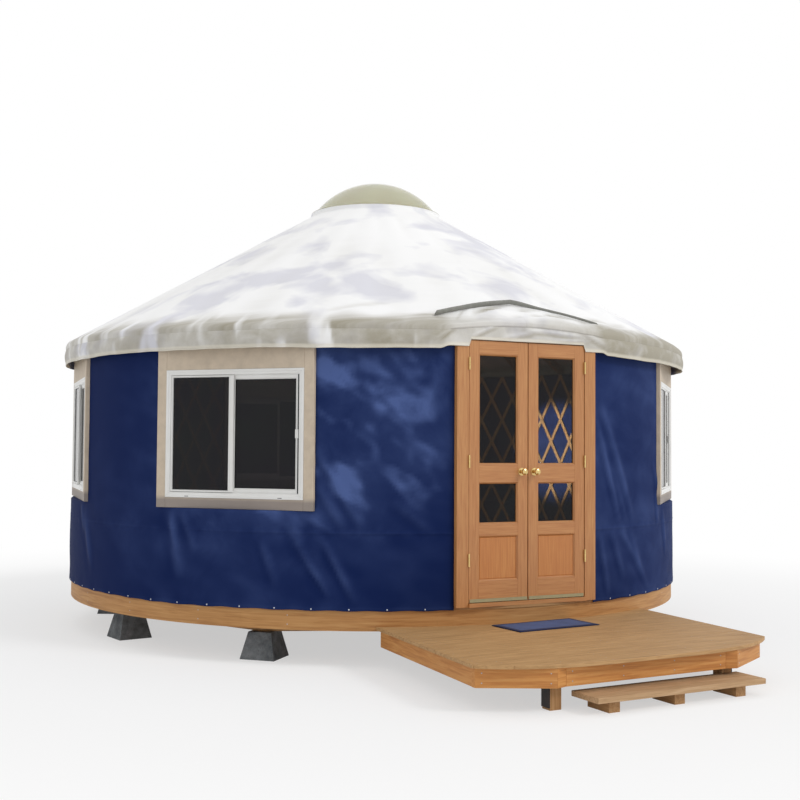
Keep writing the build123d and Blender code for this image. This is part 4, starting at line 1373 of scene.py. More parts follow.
@dataclass
class Windows:
    """The sliding windows: white vinyl frame and sash, glazing beads, gasket and latch, in a tan surround."""

    house: House
    bar: float = 0.048
    sash_bar: float = 0.034
    mullion: float = 0.032
    drain: float = 0.42
    latch: float = 0.035
    screw_levels: tuple[float, ...] = (1.55, 1.95, 2.36)
    frame_profile: Profile = ((0, 0), (0.020, 0), (0.023, 0.004), (0.041, 0.006), (0.044, 0.014), (0.048, 0.016),
                              (0.048, 0.064), (0, 0.064))
    sash_profile: Profile = ((0, 0.001), (0.022, 0.001), (0.026, 0.005), (0.032, 0.009), (0.034, 0.0095),
                             (0.034, 0.023), (0, 0.023))
    bead_profile: Profile = ((0, 0.002), (0.010, 0.002), (0.014, 0.010), (0.014, 0.0138), (0, 0.0138))
    seal_profile: Profile = ((0, 0.0122), (0.0165, 0.0122), (0.0165, 0.0138), (0, 0.0138))
    sash_seal_profile: Profile = ((0, 0), (0.003, 0), (0.003, 0.0010), (0, 0.0010))

    def build(self, vinyl: Material, rubber: Material, paint: Material) -> None:
        """Builds the pieces of all the windows.

        Args:
            vinyl: Finish of frame and sash.
            rubber: Finish of the gaskets.
            paint: Finish of the surround.
        """
        house = self.house
        half = house.window_width / 2
        low, high = house.window_top - house.window_height, house.window_top
        face = -house.window_face
        frames = Boards("window_frame_profiles", ease=0.0012, seed=31)
        sashes = Boards("window_sash_profiles", ease=0.0012, seed=32)
        seals = Boards("window_gaskets", ease=0.0005, seed=33)
        surrounds = Boards("window_surround_boards", ease=0.003, seed=34)
        inner = (low + self.bar, high - self.bar)
        sash_x = (-self.mullion, half - self.bar - house.seat)
        for azimuth in house.window_azimuths:
            turn = facing(azimuth)
            frames.frame((-half, half), (low, high), self.frame_profile, face, turn)
            frames.frame((-half + self.bar, -self.mullion), inner, self.bead_profile, face, turn)
            frames.box((-self.mullion, 0.0), (face + 0.004, face + 0.021), inner, 2, turn)
            seals.frame((-half + self.bar, -self.mullion), inner, self.seal_profile, face, turn)
            sash_front = face + 0.022
            sashes.frame(sash_x, inner, self.sash_profile, sash_front, turn)
            glass_x = (sash_x[0] + self.sash_bar, sash_x[1] - self.sash_bar)
            glass_z = (inner[0] + self.sash_bar, inner[1] - self.sash_bar)
            seals.frame(glass_x, glass_z, self.sash_seal_profile, sash_front + 0.008, turn)
            seals.box((sash_x[1] - 0.012, sash_x[1] + 0.0002), (sash_front - 0.002, sash_front + 0.0008), inner, 2,
                      turn)
            middle = (low + high) / 2
            frames.box((sash_x[1] - 0.030, sash_x[1] - 0.004), (sash_front - 0.010, sash_front + 0.0006),
                       (middle - self.latch, middle + self.latch), 2, turn)
            for x in (-self.drain, self.drain):
                seals.box((x - 0.018, x + 0.018), (face - 0.0004, face + 0.001), (low + 0.008, low + 0.013), 0, turn)

            front = -house.surround_face
            outer, hole = house.surround_half, half + house.seat
            base = house.surround_bottom
            for side in (-1, 1):
                surrounds.box([side * hole, side * outer], (front, front + 0.1), (base, house.wall_head), 2, turn)
            surrounds.box((-hole, hole), (front + 0.0005, front + 0.1), (base, low - house.seat), 0, turn)
            surrounds.box((-hole, hole), (front + 0.0005, front + 0.022), (high + house.seat, house.wall_head), 0, turn)
            surrounds.box((-hole, hole), (front + 0.022, front + 0.1), (high + house.seat, high + 0.038), 0, turn)
        for boards, material, slot, nodes in (
            (frames, vinyl, "window_vinyl", ["window_frames"]),
            (sashes, vinyl, "window_vinyl", ["window_sashes"]),
            (seals, rubber, "dark_metal", []),
            (surrounds, paint, "trim", ["window_surrounds"]),
        ):
            dress(boards.build(material), slot, *nodes)

    def screws(self) -> Spots:
        """Lays out the screws in the surrounds' boards.

        Returns:
            Place and direction of each.
        """
        house = self.house
        spots = []
        middle = house.surround_half - house.surround_board / 2
        for azimuth in house.window_azimuths:
            turn = facing(azimuth)
            outwards = turn.to_3x3() @ Vector((0, -1, 0))
            for side in (-1, 1):
                for z in (house.surround_bottom + house.surround_board / 2, *self.screw_levels):
                    spots.append((turn @ Vector((side * middle, -house.surround_face, z)), outwards))
        return spots


@dataclass
class Porch:
    """The porch: deck boards laid along its turned front and sawn to the outline, with rim boards, step and mat."""

    house: House
    half: float = 1.280
    corner: float = 4.330
    bow: float = 0.285
    curve: float = 3.75
    lean: float = 3.2
    shift: float = -0.035
    turn: float = 2.3
    overhang: float = 0.035
    board: float = 0.140
    gap: float = 0.0035
    rim: float = 0.038
    rim_bottom: float = 0.166
    cheek_inner: tuple[float, float] = (0.775, 4.565)
    cheek_outer: tuple[float, float] = (1.245, 4.315)
    recess_half: float = 0.690
    recess_face: float = 4.540
    joist_spacing: float = 0.370
    step_ends: tuple[float, float] = (-0.621, 0.837)
    step_out: tuple[float, float] = (4.451, 4.737)
    mat_size: tuple[float, float] = (0.775, 0.370)
    mat_centre: tuple[float, float] = (0.025, 3.190)
    mat_turn: float = 5.0
    board_screws: tuple[float, float] = (0.22, 0.78)
    rim_screw_levels: tuple[float, float] = (0.198, 0.262)
    recess_screws: tuple[float, ...] = (-0.64, -0.22, 0.22, 0.64)
    cheek_screws: tuple[float, float] = (0.08, 0.92)

    @property
    def front(self) -> Matrix:
        """Turn of the porch's front about the middle of its corners' line, for the step."""
        pivot = Matrix.Translation((0, -self.corner, 0))
        return pivot @ Matrix.Rotation(radians(self.turn), 4, "Z") @ pivot.inverted()

    @property
    def place(self) -> Matrix:
        """Turn and shift of the deck's boards and of the boards under its edge."""
        return Matrix.Translation((self.shift, 0, 0)) @ self.front

    def lip(self, across: float) -> float:
        """How far out the deck's curved front edge lies, at a place across the turned porch."""
        return self.corner + self.bow * (1 - abs(across / self.half) ** self.curve)

    def on_side(self, corner: Vector, y: float) -> Vector:
        """Point at a level along Y on the leaning line that starts at a corner."""
        return Vector((corner.x + tan(radians(self.lean)) * (y - corner.y), y, 0))

    def at_band(self, corner: Vector) -> Vector:
        """Where the leaning line that starts at a corner meets the house's round band.

        Args:
            corner: Where the line starts.

        Returns:
            The point where they meet.
        """
        band = self.house.rim_radius + self.house.seat
        spot = corner
        for _ in range(8):
            spot = self.on_side(corner, -sqrt(band**2 - spot.x**2))
        return spot

    def outline(self) -> list[Vector]:
        """Draws the plan of the deck: its curved front, and back along the house's round band.

        Returns:
            Its corners, counter-clockwise from above.
        """
        band = self.house.rim_radius + self.house.seat
        lip = [self.place @ Vector((x, -self.lip(x), 0)) for x in steps(-self.half, self.half, 0.035)]
        left, right = self.at_band(lip[0]).x, self.at_band(lip[-1]).x
        return lip + [Vector((x, -sqrt(band**2 - x * x), 0)) for x in reversed(steps(left, right, 0.06))]

    @staticmethod
    def sawn(outline: list[Vector], axis: int, level: float, way: int) -> list[Vector]:
        """Part of an outline on one side of a line.

        Args:
            outline: Its corners.
            axis: 0 for a line at a level along X, and 1 for one along Y.
            level: The line's place.
            way: 1 keeps what lies above the level, and -1 what lies below.

        Returns:
            The corners that are left.
        """
        kept = []
        for first, second in zip(outline, outline[1:] + outline[:1]):
            before, after = (first[axis] - level) * way, (second[axis] - level) * way
            if before >= 0:
                kept.append(first)
            if before * after < 0:
                kept.append(first.lerp(second, before / (before - after)))
        return kept

    def rows(self) -> list[tuple[float, float]]:
        """Spaces the deck's boards.

        Returns:
            Each board's front and back edge, as distances out along the turned porch.
        """
        back = self.place.inverted()
        last = -max((back @ p).y for p in self.outline())
        rows, out = [], self.corner + self.bow
        while out > last + 0.01:
            rows.append((out, out - self.board + self.gap))
            out -= self.board
        return rows

    def deck(self, material: Material) -> None:
        """Builds the deck boards: whole ones in front of the house's band, and pairs sawn to fit round it.

        Args:
            material: Finish of the boards.
        """
        boards = Boards("porch_deck_boards", ease=0.003, seed=41)
        house, back = self.house, self.place.inverted()
        whole = self.outline()
        halves = [[back @ p for p in self.sawn(whole, 0, way * house.seat, way)] for way in (-1, 1)]
        whole = [back @ p for p in whole]
        nearest = -(back @ Vector((0, -house.rim_radius, 0))).y
        for front, rear in self.rows():
            for plan in (whole,) if rear > nearest + 0.02 else halves:
                cut = self.sawn(self.sawn(plan, 1, -front, 1), 1, -rear, -1)
                cut = [p for i, p in enumerate(cut) if (p - cut[i - 1]).length > 0.0008]
                if len(cut) > 2 and max(p.x for p in cut) - min(p.x for p in cut) > 0.03:
                    boards.prism([(p.x, p.y) for p in cut], house.deck_bottom, house.deck_top, 0, self.place)
        dress(boards.build(material), "deck_wood", "porch_deck")

    def screws(self) -> Spots:
        """Lays out the deck's screws, two in each board over each joist and side board.

        Returns:
            Place and direction of each.
        """
        turn, lean = radians(self.turn), radians(self.lean)
        lines = [(i * self.joist_spacing, 0.0) for i in range(-3, 4)]
        for way in (-1, 1):
            side = self.on_side(self.place @ Vector((way * self.half, -self.corner, 0)), -self.corner).x
            lines.append((side - way * (self.overhang + self.rim / 2) / cos(lean), tan(lean)))
        spots = []
        for front, rear in self.rows():
            for share in self.board_screws:
                out = front + (rear - front) * share
                past = out - self.corner
                for x, slope in lines:
                    inner = x - self.shift - past * (sin(turn) + slope * cos(turn))
                    inner /= cos(turn) - slope * sin(turn)
                    spot = self.place @ Vector((inner, -out, self.house.deck_top - 0.0004))
                    clear = hypot(spot.x, spot.y) > self.house.rim_radius + 0.03
                    if out < self.lip(inner) - 0.02 and clear and spot.y < -2.6:
                        spots.append((spot, Vector((0, 0, 1))))
        return spots

    def rim_boards(self, material: Material) -> None:
        """Builds the boards under the deck's edge: two sides, two slanting, two short and the one over the step.

        Args:
            material: Finish of the boards.
        """
        boards = Boards("porch_rim_boards", ease=0.003, seed=42)
        levels = (self.rim_bottom, self.house.deck_bottom)
        boards.box((-self.recess_half, self.recess_half), (-self.recess_face, -self.recess_face + self.rim), levels, 0,
                   self.place)

        def slanting(start: tuple[float, float], end: tuple[float, float]) -> list[tuple[float, float]]:
            """Draws the plan of a board whose face slants back.

            Args:
                start: Where its face starts, across and out.
                end: Where its face ends.

            Returns:
                Its four corners.
            """
            thick = self.rim * dist(start, end) / (end[0] - start[0])
            return [(start[0], -start[1]), (end[0], -end[1]), (end[0], -end[1] + thick), (start[0], -start[1] + thick)]

        near, out = self.cheek_inner
        cheek = slanting(self.cheek_inner, self.cheek_outer)
        joint = 2 * self.house.seat
        short = slanting((self.recess_half + joint, self.recess_face), (near - joint, out))
        for way in (-1, 1):
            for plan in (cheek, short):
                boards.plank([(x * way, y) for x, y in (plan if way > 0 else reversed(plan))], *levels, self.place)
            face = self.place @ Vector((way * self.cheek_outer[0], -self.cheek_outer[1], 0))
            inset = face - Vector((way * self.rim / cos(radians(self.lean)), 0, 0))
            front = face.y + self.rim
            plan = [self.on_side(inset, front), self.on_side(face, front), self.at_band(face), self.at_band(inset)]
            boards.prism([(p.x, p.y) for p in plan[::way]], *levels, 1)
        dress(boards.build(material), "rim_wood", "porch_rim")

    def rim_screws(self) -> Spots:
        """Lays out the screws in the rim boards' faces.

        Returns:
            Place and direction of each.
        """
        spots = []
        run = Vector((self.cheek_outer[0] - self.cheek_inner[0], self.cheek_inner[1] - self.cheek_outer[1], 0))
        for z in self.rim_screw_levels:
            for x in self.recess_screws:
                spots.append((Vector((x, -self.recess_face, z)), Vector((0, -1, 0))))
            for way in (-1, 1):
                for share in self.cheek_screws:
                    spot = Vector((self.cheek_inner[0], -self.cheek_inner[1], z)) + run * share
                    spots.append((Vector((spot.x * way, spot.y, z)), Vector((run.y * way, -run.x, 0)).normalized()))
        return [(self.place @ spot, self.place.to_3x3() @ out) for spot, out in spots]

    def step(self, material: Material) -> None:
        """Builds the step's board.

        Args:
            material: Finish of the board.
        """
        boards = Boards("step_plank", ease=0.004, seed=43)
        low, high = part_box("step_board")
        near, far = self.step_out
        boards.box(self.step_ends, (-far, -near), (low[2], high[2]), 0, self.front)
        dress(boards.build(material), "deck_wood", "step_board")

    def mat(self, material: Material) -> None:
        """Builds the door mat: a thick woven sheet with a darker border, a little wavy at its edges.

        Args:
            material: Finish of the mat.
        """
        turn = Matrix.Rotation(radians(self.mat_turn), 4, "Z")
        shift = Vector((self.mat_centre[0], -self.mat_centre[1], self.house.deck_top))
        half_x, half_y = self.mat_size[0] / 2, self.mat_size[1] / 2

        def point(x: float, y: float) -> ClothPoint:
            """Shapes a point of the mat.

            Args:
                x: Metres across from its middle.
                y: Metres back from its middle.

            Returns:
                The point.
            """
            edge = min(half_x - abs(x), half_y - abs(y))
            up = 0.0095 - 0.003 * smooth(edge, 0.012, 0.0) + 0.0008 * ripple(x, y, 61, 0.2)
            border = 1.0 if edge < 0.038 else 0.0
            return ClothPoint(turn @ Vector((x, y, up)) + shift, x, y, 0.5 + 0.3 * ripple(x, y, 62, 0.1), border)

        grid = ClothGrid("door_mat_weave", steps(-half_x, half_x, 0.0125), steps(-half_y, half_y, 0.0125), point,
                         thickness=0.0062)
        piece = dress(grid.build(material), "mat", "door_mat")


@dataclass(frozen=True)
class Heads:
    """Domed heads of screws, bolts, rivets or snaps, one at each place and turned to face outwards."""

    name: str
    radius: float
    height: float
    slot: str
    body: str = "root"

    @staticmethod
    def tree() -> tuple[NodeTree, dict[str, str]]:
        """Makes the node tree that puts a head on each point.

        Returns:
            The tree and the identifier of each of its inputs by name.
        """
        tree = bpy.data.node_groups.new("heads", "GeometryNodeTree")
        sockets = {}
        for name, kind in (("Places", "NodeSocketGeometry"), ("Radius", "NodeSocketFloat"),
                           ("Height", "NodeSocketFloat"), ("Finish", "NodeSocketMaterial")):
            made = tree.interface.new_socket(name=name, in_out="INPUT", socket_type=kind)
            sockets[name] = made.identifier
        tree.interface.new_socket(name="Heads", in_out="OUTPUT", socket_type="NodeSocketGeometry")
        given = add_node(tree, "NodeGroupInput").outputs
        ball = add_node(tree, "GeometryNodeMeshUVSphere", {"Segments": 9, "Rings": 5, "Radius": 1.0})
        size = add_node(tree, XYZ, {0: given["Radius"], 1: given["Radius"], 2: given["Height"]})
        head = add_node(tree, "GeometryNodeTransform", {"Geometry": ball, "Scale": size})
        rounded = add_node(tree, "GeometryNodeSetShadeSmooth", {0: head})
        way = add_node(tree, "GeometryNodeInputNamedAttribute", {"Name": "facing"}, data_type="FLOAT_VECTOR")
        turn = add_node(tree, "FunctionNodeAlignRotationToVector", {"Vector": way}, axis="Z")
        spread = add_node(tree, "GeometryNodeInstanceOnPoints",
                          {"Points": given["Places"], "Instance": rounded, "Rotation": turn})
        real = add_node(tree, "GeometryNodeRealizeInstances", {0: spread})
        dressed = add_node(tree, "GeometryNodeSetMaterial", {"Geometry": real, "Material": given["Finish"]})
        add_node(tree, "NodeGroupOutput", {0: dressed})
        return tree, sockets

    def build(self, spots: Spots, material: Material, tree: NodeTree, sockets: dict[str, str]) -> None:
        """Builds the heads as one piece.

        Args:
            spots: Place and outward direction of each head.
            material: Their finish.
            tree: Node tree from tree().
            sockets: Its inputs.
        """
        piece = add_piece(self.name, [place for place, _ in spots], [], values={"facing": [way for _, way in spots]})
        nodes = piece.modifiers.new("heads", "NODES")
        nodes.node_group = tree
        nodes[sockets["Radius"]] = self.radius
        nodes[sockets["Height"]] = self.height
        nodes[sockets["Finish"]] = material
        bpy.context.view_layer.update()
        made = bpy.data.meshes.new_from_object(piece.evaluated_get(bpy.context.evaluated_depsgraph_get()))
        piece.modifiers.clear()
        piece.data = made
        if not made.materials:
            made.materials.append(material)
        dress(piece, self.slot, body=self.body)


@dataclass
class Fastenings:
    """Screws, bolts, rivets and snaps all over the house."""

    house: House
    slats_around: int = 66
    slat_slope: float = 62.0
    lattice_radius: float = 2.984
    lattice_inside: float = 2.970
    rivet_face: float = 2.9736
    band_levels: tuple[float, float] = (0.33, 0.40)
    band_turn: float = 15.0
    porch_turn: float = 28.0

    def cut_away(self, azimuth: float, up: float) -> bool:
        """Tells whether the doorway or a window cuts the lattice away.

        Args:
            azimuth: Place round the wall.
            up: Height.

        Returns:
            True where there is no lattice.
        """
        house = self.house
        openings = [(0.0, house.frame_half)]
        if up > house.surround_bottom - 0.03:
            openings += [(window, house.surround_half) for window in house.window_azimuths]
        aways = [(min(90.0, abs(wrapped(azimuth - centre))), half) for centre, half in openings]
        return any(sin(radians(away)) * self.lattice_inside < half + 0.02 for away, half in aways)

    def rivets(self) -> Spots:
        """Lays out the rivets where the lattice's slats cross, on its inner side.

        Returns:
            Place and direction of each.
        """
        house = self.house
        step = 360 / self.slats_around
        middle = (house.wall_head + house.floor_top) / 2
        rise = radians(step / 2) * self.lattice_radius * tan(radians(self.slat_slope))
        rows = int((house.wall_head - house.floor_top) / 2 / rise)
        spots = []
        for row in range(-rows, rows + 1):
            up = middle + row * rise
            for i in range(self.slats_around):
                azimuth = (i + 0.5 + row / 2) * step
                if not self.cut_away(azimuth, up):
                    spots.append((plan_point(azimuth, self.rivet_face, up), -plan_point(azimuth, 1.0)))
        return spots

    def snaps(self, wall: Wall) -> Spots:
        """Lays out the snaps along the wall cloth's lower edge.

        Args:
            wall: The wall.

        Returns:
            Place and direction of each.
        """
        radius = self.house.wall_radius
        spots = []
        along = wall.snap_spacing * 3
        while along < pi * radius - 0.1:
            for side in (-1, 1):
                point = wall.point(along * side, self.house.wall_bottom + 0.014)
                spots.append((point.at, plan_point(degrees(along * side / radius), 1.0)))
            along += wall.snap_spacing
        return spots

    def round_house(self) -> list[float]:
        """Azimuths of the bolts and screws that stand evenly round the house."""
        return [(i + 0.5) * self.band_turn for i in range(round(360 / self.band_turn))]

    def rim_bolts(self) -> Spots:
        """Places of the bolts that hold the dome down."""
        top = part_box("dome_rim")[1][2] + 0.006
        return [(plan_point(azimuth, self.house.ring_radius + 0.011, top), Vector((0, 0, 1)))
                for azimuth in self.round_house()]

    def band_screws(self) -> Spots:
        """Places of the screws in the bent rim board, where the porch doesn't cover it."""
        return [(plan_point(azimuth, self.house.rim_radius - 0.0004, up), plan_point(azimuth, 1.0))
                for azimuth in self.round_house() if abs(wrapped(azimuth)) >= self.porch_turn
                for up in self.band_levels]


@dataclass
class Studio:
    """Pale floor, soft light and the camera at the photograph's angle."""

    eye: tuple[float, float, float] = (-5.0065, -10.8974, 1.703)
    heading: float = 25.951
    tilt: float = 2.360
    roll: float = 0.3793
    lens: float = 52.19
    sky: float = 0.76
    sun_azimuth: float = 38.0
    sun_elevation: float = 40.0
    sun_strength: float = 0.95
    sun_softness: float = 18.0
    dome_lamp: tuple[float, float, float] = (0.0, 0.0, 3.75)
    dome_power: float = 60.0
    lattice_lamp: tuple[float, float, float] = (0.3, -0.5, 2.3)
    lattice_aim: tuple[float, float, float] = (2.84, 0.90, 1.70)
    lattice_power: float = 2300.0
    lattice_beam: float = 24.0
    floor_reach: float = 60.0
    floor_fade: tuple[float, float] = (5.0, 9.5)
    floor_white: float = 0.55

    def camera(self) -> None:
        """Sets the camera up."""
        heading, tilt, roll = (radians(a) for a in (self.heading, self.tilt, self.roll))
        ahead = Vector((sin(heading) * cos(tilt), cos(heading) * cos(tilt), sin(tilt)))
        level = Vector((cos(heading), -sin(heading), 0))
        above = level.cross(ahead)
        right = level * cos(roll) + above * sin(roll)
        up = above * cos(roll) - level * sin(roll)
        data = bpy.data.cameras.new("camera")
        data.lens = self.lens
        data.sensor_width = 36.0
        data.sensor_fit = "HORIZONTAL"
        data.clip_end = 200.0
        camera = bpy.data.objects.new("camera", data)
        turn = Matrix((right, up, -ahead)).transposed().to_4x4()
        camera.matrix_world = Matrix.Translation(self.eye) @ turn
        bpy.context.scene.collection.objects.link(camera)
        bpy.context.scene.camera = camera

    def seen(self, tree: NodeTree) -> Node:
        """Makes the nodes that tell whether a backdrop is looked at or lights something.

        Args:
            tree: Tree of the floor or the world.

        Returns:
            Node that is 1 where a ray comes from the camera, a mirror or glass, and otherwise 0.
        """
        rays = add_node(tree, "ShaderNodeLightPath").outputs
        seen = rays["Is Camera Ray"]
        for kind in ("Is Glossy Ray", "Is Transmission Ray"):
            seen = add_node(tree, MATH, {0: seen, 1: rays[kind]}, operation="MAXIMUM")
        return seen

    def sky_light(self) -> None:
        """Lights the house from an even sky that looks white behind it."""
        world = bpy.data.worlds.new("studio")
        bpy.context.scene.world = world
        tree = empty_tree(world)
        level = add_node(tree, MATH, {0: self.seen(tree), 1: 1 - self.sky, 2: self.sky}, operation="MULTIPLY_ADD")
        sky = add_node(tree, "ShaderNodeBackground", {"Color": (1.0, 1.0, 1.0, 1.0), "Strength": level})
        add_node(tree, "ShaderNodeOutputWorld", {"Surface": sky})

    def lamp(self, name: str, kind: str, place: Vector, aim: Vector, **settings: Any) -> None:
        """Adds a lamp.

        Args:
            name: Its name.
            kind: Its type.
            place: Where it stands.
            aim: What it shines at.
            **settings: Its properties.
        """
        light = bpy.data.lights.new(name, kind)
        for key, value in settings.items():
            setattr(light, key, value)
        lamp = bpy.data.objects.new(name, light)
        lamp.location = place
        lamp.rotation_euler = (place - aim).to_track_quat("Z", "Y").to_euler()
        bpy.context.scene.collection.objects.link(lamp)

    def lamps(self) -> None:
        """Adds a wide soft sun, a soft lamp under the dome, and one on the lattice behind the right door's panes."""
        lift = radians(self.sun_elevation)
        sun = plan_point(self.sun_azimuth, cos(lift), sin(lift))
        self.lamp("sun", "SUN", sun, Vector(), energy=self.sun_strength, angle=radians(self.sun_softness))
        self.lamp("under_dome", "AREA", Vector(self.dome_lamp), Vector(), shape="DISK", size=1.0,
                  energy=self.dome_power)
        self.lamp("lattice_light", "SPOT", Vector(self.lattice_lamp), Vector(self.lattice_aim),
                  energy=self.lattice_power, spot_size=radians(self.lattice_beam), spot_blend=0.5,
                  shadow_soft_size=0.05)

    def floor(self) -> None:
        """Lays a wide pale floor that keeps the house's shadow and fades to the white backdrop."""
        material = bpy.data.materials.new("studio_floor")
        tree = empty_tree(material)
        matt = add_node(tree, "ShaderNodeBsdfPrincipled",
                        {"Base Color": linear("#f4f4f4"), "Roughness": 0.9, "Specular IOR Level": 0.1})
        at = add_node(tree, AT).outputs["Object"]
        far = add_node(tree, VECTOR, {0: at}, operation="LENGTH").outputs["Value"]
        near, out = self.floor_fade
        fade = add_node(tree, RANGE, {"Value": far, "From Min": near, "From Max": out, "To Min": self.floor_white},
                        interpolation_type="SMOOTHSTEP")
        share = add_node(tree, MATH, {0: fade, 1: self.seen(tree)}, operation="MULTIPLY")
        white = add_node(tree, "ShaderNodeEmission", {"Color": (1.0, 1.0, 1.0, 1.0), "Strength": 1.0})
        mixed = add_node(tree, "ShaderNodeMixShader", {0: share, 1: matt, 2: white})
        add_node(tree, "ShaderNodeOutputMaterial", {"Surface": mixed})
        corners = [(x * self.floor_reach, y * self.floor_reach, 0) for x, y in ((-1, -1), (1, -1), (1, 1), (-1, 1))]
        add_piece("studio_floor", corners, [(0, 1, 2, 3)], material)

    def build(self) -> None:
        """Sets the whole studio up."""
        self.camera()
        self.sky_light()
        self.lamps()
        self.floor()
        bpy.context.scene.view_settings.view_transform = "Standard"


@dataclass
class Yurt:
    """The whole house: its pieces, its finishes and its fastenings."""

    house: House
    finishes: dict[str, Material] = field(default_factory=dict)

    def make_finishes(self) -> None:
        """Makes every finish."""
        for finish in (
            # Cast concrete: dull grey, blotched where it is damp.
            Concrete(),
            # Varnished fir: warm and even, with a soft gloss that follows the grain.
            *(Wood(name, "#cb965d", "#be8550", "#ad7240", grain, 13, 0.42, 0.25, 0.12, 0.10)
              for name, grain in (("fir_upright", Grain.ALONG_Z), ("fir_level", Grain.ALONG_X))),
            Wood("fir_panel", "#cd8f4e", "#c27e40", "#b87339", Grain.ALONG_Z, 15, 0.42, 0.25, 0.12, 0.08),
            Wood("fir_boards", "#cb945c", "#be844f", "#ad7140", Grain.BOARD, 13, 0.42, 0.25, 0.12, 0.10),
            # Sawn softwood: pale, dry and dull, with plain growth lines.
            *(Wood(f"framing_{way}", "#c9a578", "#b98f5f", "#94693e", grain, 16, 0.7)
              for way, grain in (("along", Grain.ALONG_Y), ("upright", Grain.ALONG_Z), ("round", Grain.ROUND))),
            # Planed softwood: smoother, with a faint gloss.
            Wood("ring_wood", "#d3a16a", "#bd8449", "#9b6433", Grain.ROUND, 12, 0.5, 0.1),
            Wood("floor_boards", "#c8a272", "#b78c5a", "#93683b", Grain.ALONG_X, 22, 0.55),
            # Stained softwood: orange and dull, with broad growth lines.
            Wood("rim_band", "#d0a065", "#c08d52", "#9f6c38", Grain.ROUND, 20, 0.6),
            Wood("rim_boards", "#e3ab66", "#d1924c", "#b07034", Grain.BOARD, 20, 0.6),
            # Weathered deck boards: bleached and rough.
            Wood("deck_boards", "#d3ab77", "#c19765", "#9f7a4d", Grain.BOARD, 18, 0.65, 0.0, 0.25),
            Wood("step_wood", "#d8b893", "#c5a179", "#a3805a", Grain.BOARD, 18, 0.75, 0.0, 0.25),
            # Planed fir slats: pale, with close growth lines.
            *(Wood(f"slats_{way}", "#dcb684", "#cc9f6a", "#ab7c4b", grain, 10, 0.55)
              for way, grain in (("left", Grain.SLAT_LEFT), ("right", Grain.SLAT_RIGHT))),
            # Planed softwood rafters: dull from below.
            Wood("rafter_wood", "#d3ad7c", "#c0955f", "#9d7344", Grain.RADIAL, 16, 0.6),
            # Vinyl-coated wall cloth: deep blue and nearly matt, with paler patches that are partly dust and partly
            # painted sunlight and highlight, and painted shade low down and on the left.
            CoatedCloth("blue_wall_cloth", "#12224f", "#4d6094", "#7282b4", 2.4, 0.68, 0.0, 0.6, 0.5, 0.05),
            # Vinyl-coated roof cloth: white with a satin sheen, with lavender-grey blotches of painted tree shadow, and
            # painted shade in its furrows.
            CoatedCloth("roof_cloth_white", "#fafafa", "#a39d8d", "#c8c8c8", 2.4, 0.5, 0.05, 0.35, 0.4, 0.3,
                        "#b8b8cc", 0.46, 0.58),
            # The same cloth at the eave: greyed and streaked by rain, with painted shade heavier on the right, and
            # lavender painted shade in the crumples over the doors.
            CoatedCloth("eave_cloth_grey", "#f2f2f2", "#a39d8d", "#e2dccb", 2.4, 0.55, 0.05, 0.25, 0.3, 0.3,
                        "#b4b4c2", 0.6, 0.3),
            # Coarsely woven mat: matt blue, with threads that show.
            CoatedCloth("mat_weave", "#46598c", "#37466f", "#1d2548", 5.0, 0.9, 0.1, 0.5, 0.12, 0.1),
            # Vinyl-coated padding: dull grey.
            Smooth("grey_strip", "#86867f", "#62625e", 0.6, 0.0, 40.0, 0.6, 0.15),
            # Extruded vinyl: clean white with a slight gloss.
            Smooth("white_vinyl", "#e6e6e4", "#cfcdc6", 0.32, 0.0, 300.0, 0.35, 0.02),
            # Painted boards: flat tan, darker below the windows' lower edge.
            Smooth("tan_paint", "#cdbda8", "#ab9c8a", 0.6, 0.0, 90.0, 0.5, 0.15, darker_below=1.29, darker_colour="#857c78"),
            # Moulded rubber: black and dull.
            Smooth("black_rubber", "#16171a", "#26272b", 0.7, 0.0, 40.0, 0.5, 0.1),
            # Painted steel: near black, with rust showing through in patches.
            Smooth("dark_steel", "#2a2b2e", "#4a3b32", 0.5, 0.6, 50.0, 0.6, 0.15),
            # Zinc-plated and galvanised steel: bright grey metal.
            Smooth("bright_zinc", "#b9bbbd", "#8d8f90", 0.35, 1.0, 20.0, 0.5, 0.08),
            Smooth("steel_rope", "#9b9d9f", "#6c6e70", 0.4, 1.0, 8.0, 0.7, 0.3),
            # Polished brass: pale gold, with sharp highlights.
            Smooth("polished_brass", "#dfc488", "#c2a062", 0.22, 1.0, 30.0, 0.5, 0.05),
            # Extruded rubber: olive and dull.
            Smooth("olive_rubber", "#a39c78", "#878060", 0.6, 0.0, 60.0, 0.5, 0.1),
            # Moulded nylon: off-white with a soft gloss.
            Smooth("white_nylon", "#c6c9d2", "#a9abb4", 0.4, 0.0, 10.0, 0.3, 0.05),
            # Float glass, drawn near black and mostly opaque: painted shade standing in for the dark room behind it,
            # with sharp reflections and faint greenish patches of painted reflection.
            Smooth("window_pane", "#15131a", "#171e18", 0.04, 0.0, 400.0, 0.6, 0.0, 0.84, 1.5, 0.2),
            Smooth("door_pane", "#15110f", "#171e18", 0.04, 0.0, 400.0, 0.6, 0.0, 0.66, 1.5, 0.2),
            # Blown acrylic: clear, tinted olive by what it has weathered.
            Smooth("dome_acrylic", "#c6c898", "#b3a878", 0.08, 0.0, 260.0, 0.7, 0.01, 0.34, 1.49),
        ):
            self.finishes[finish.name] = finish.make()

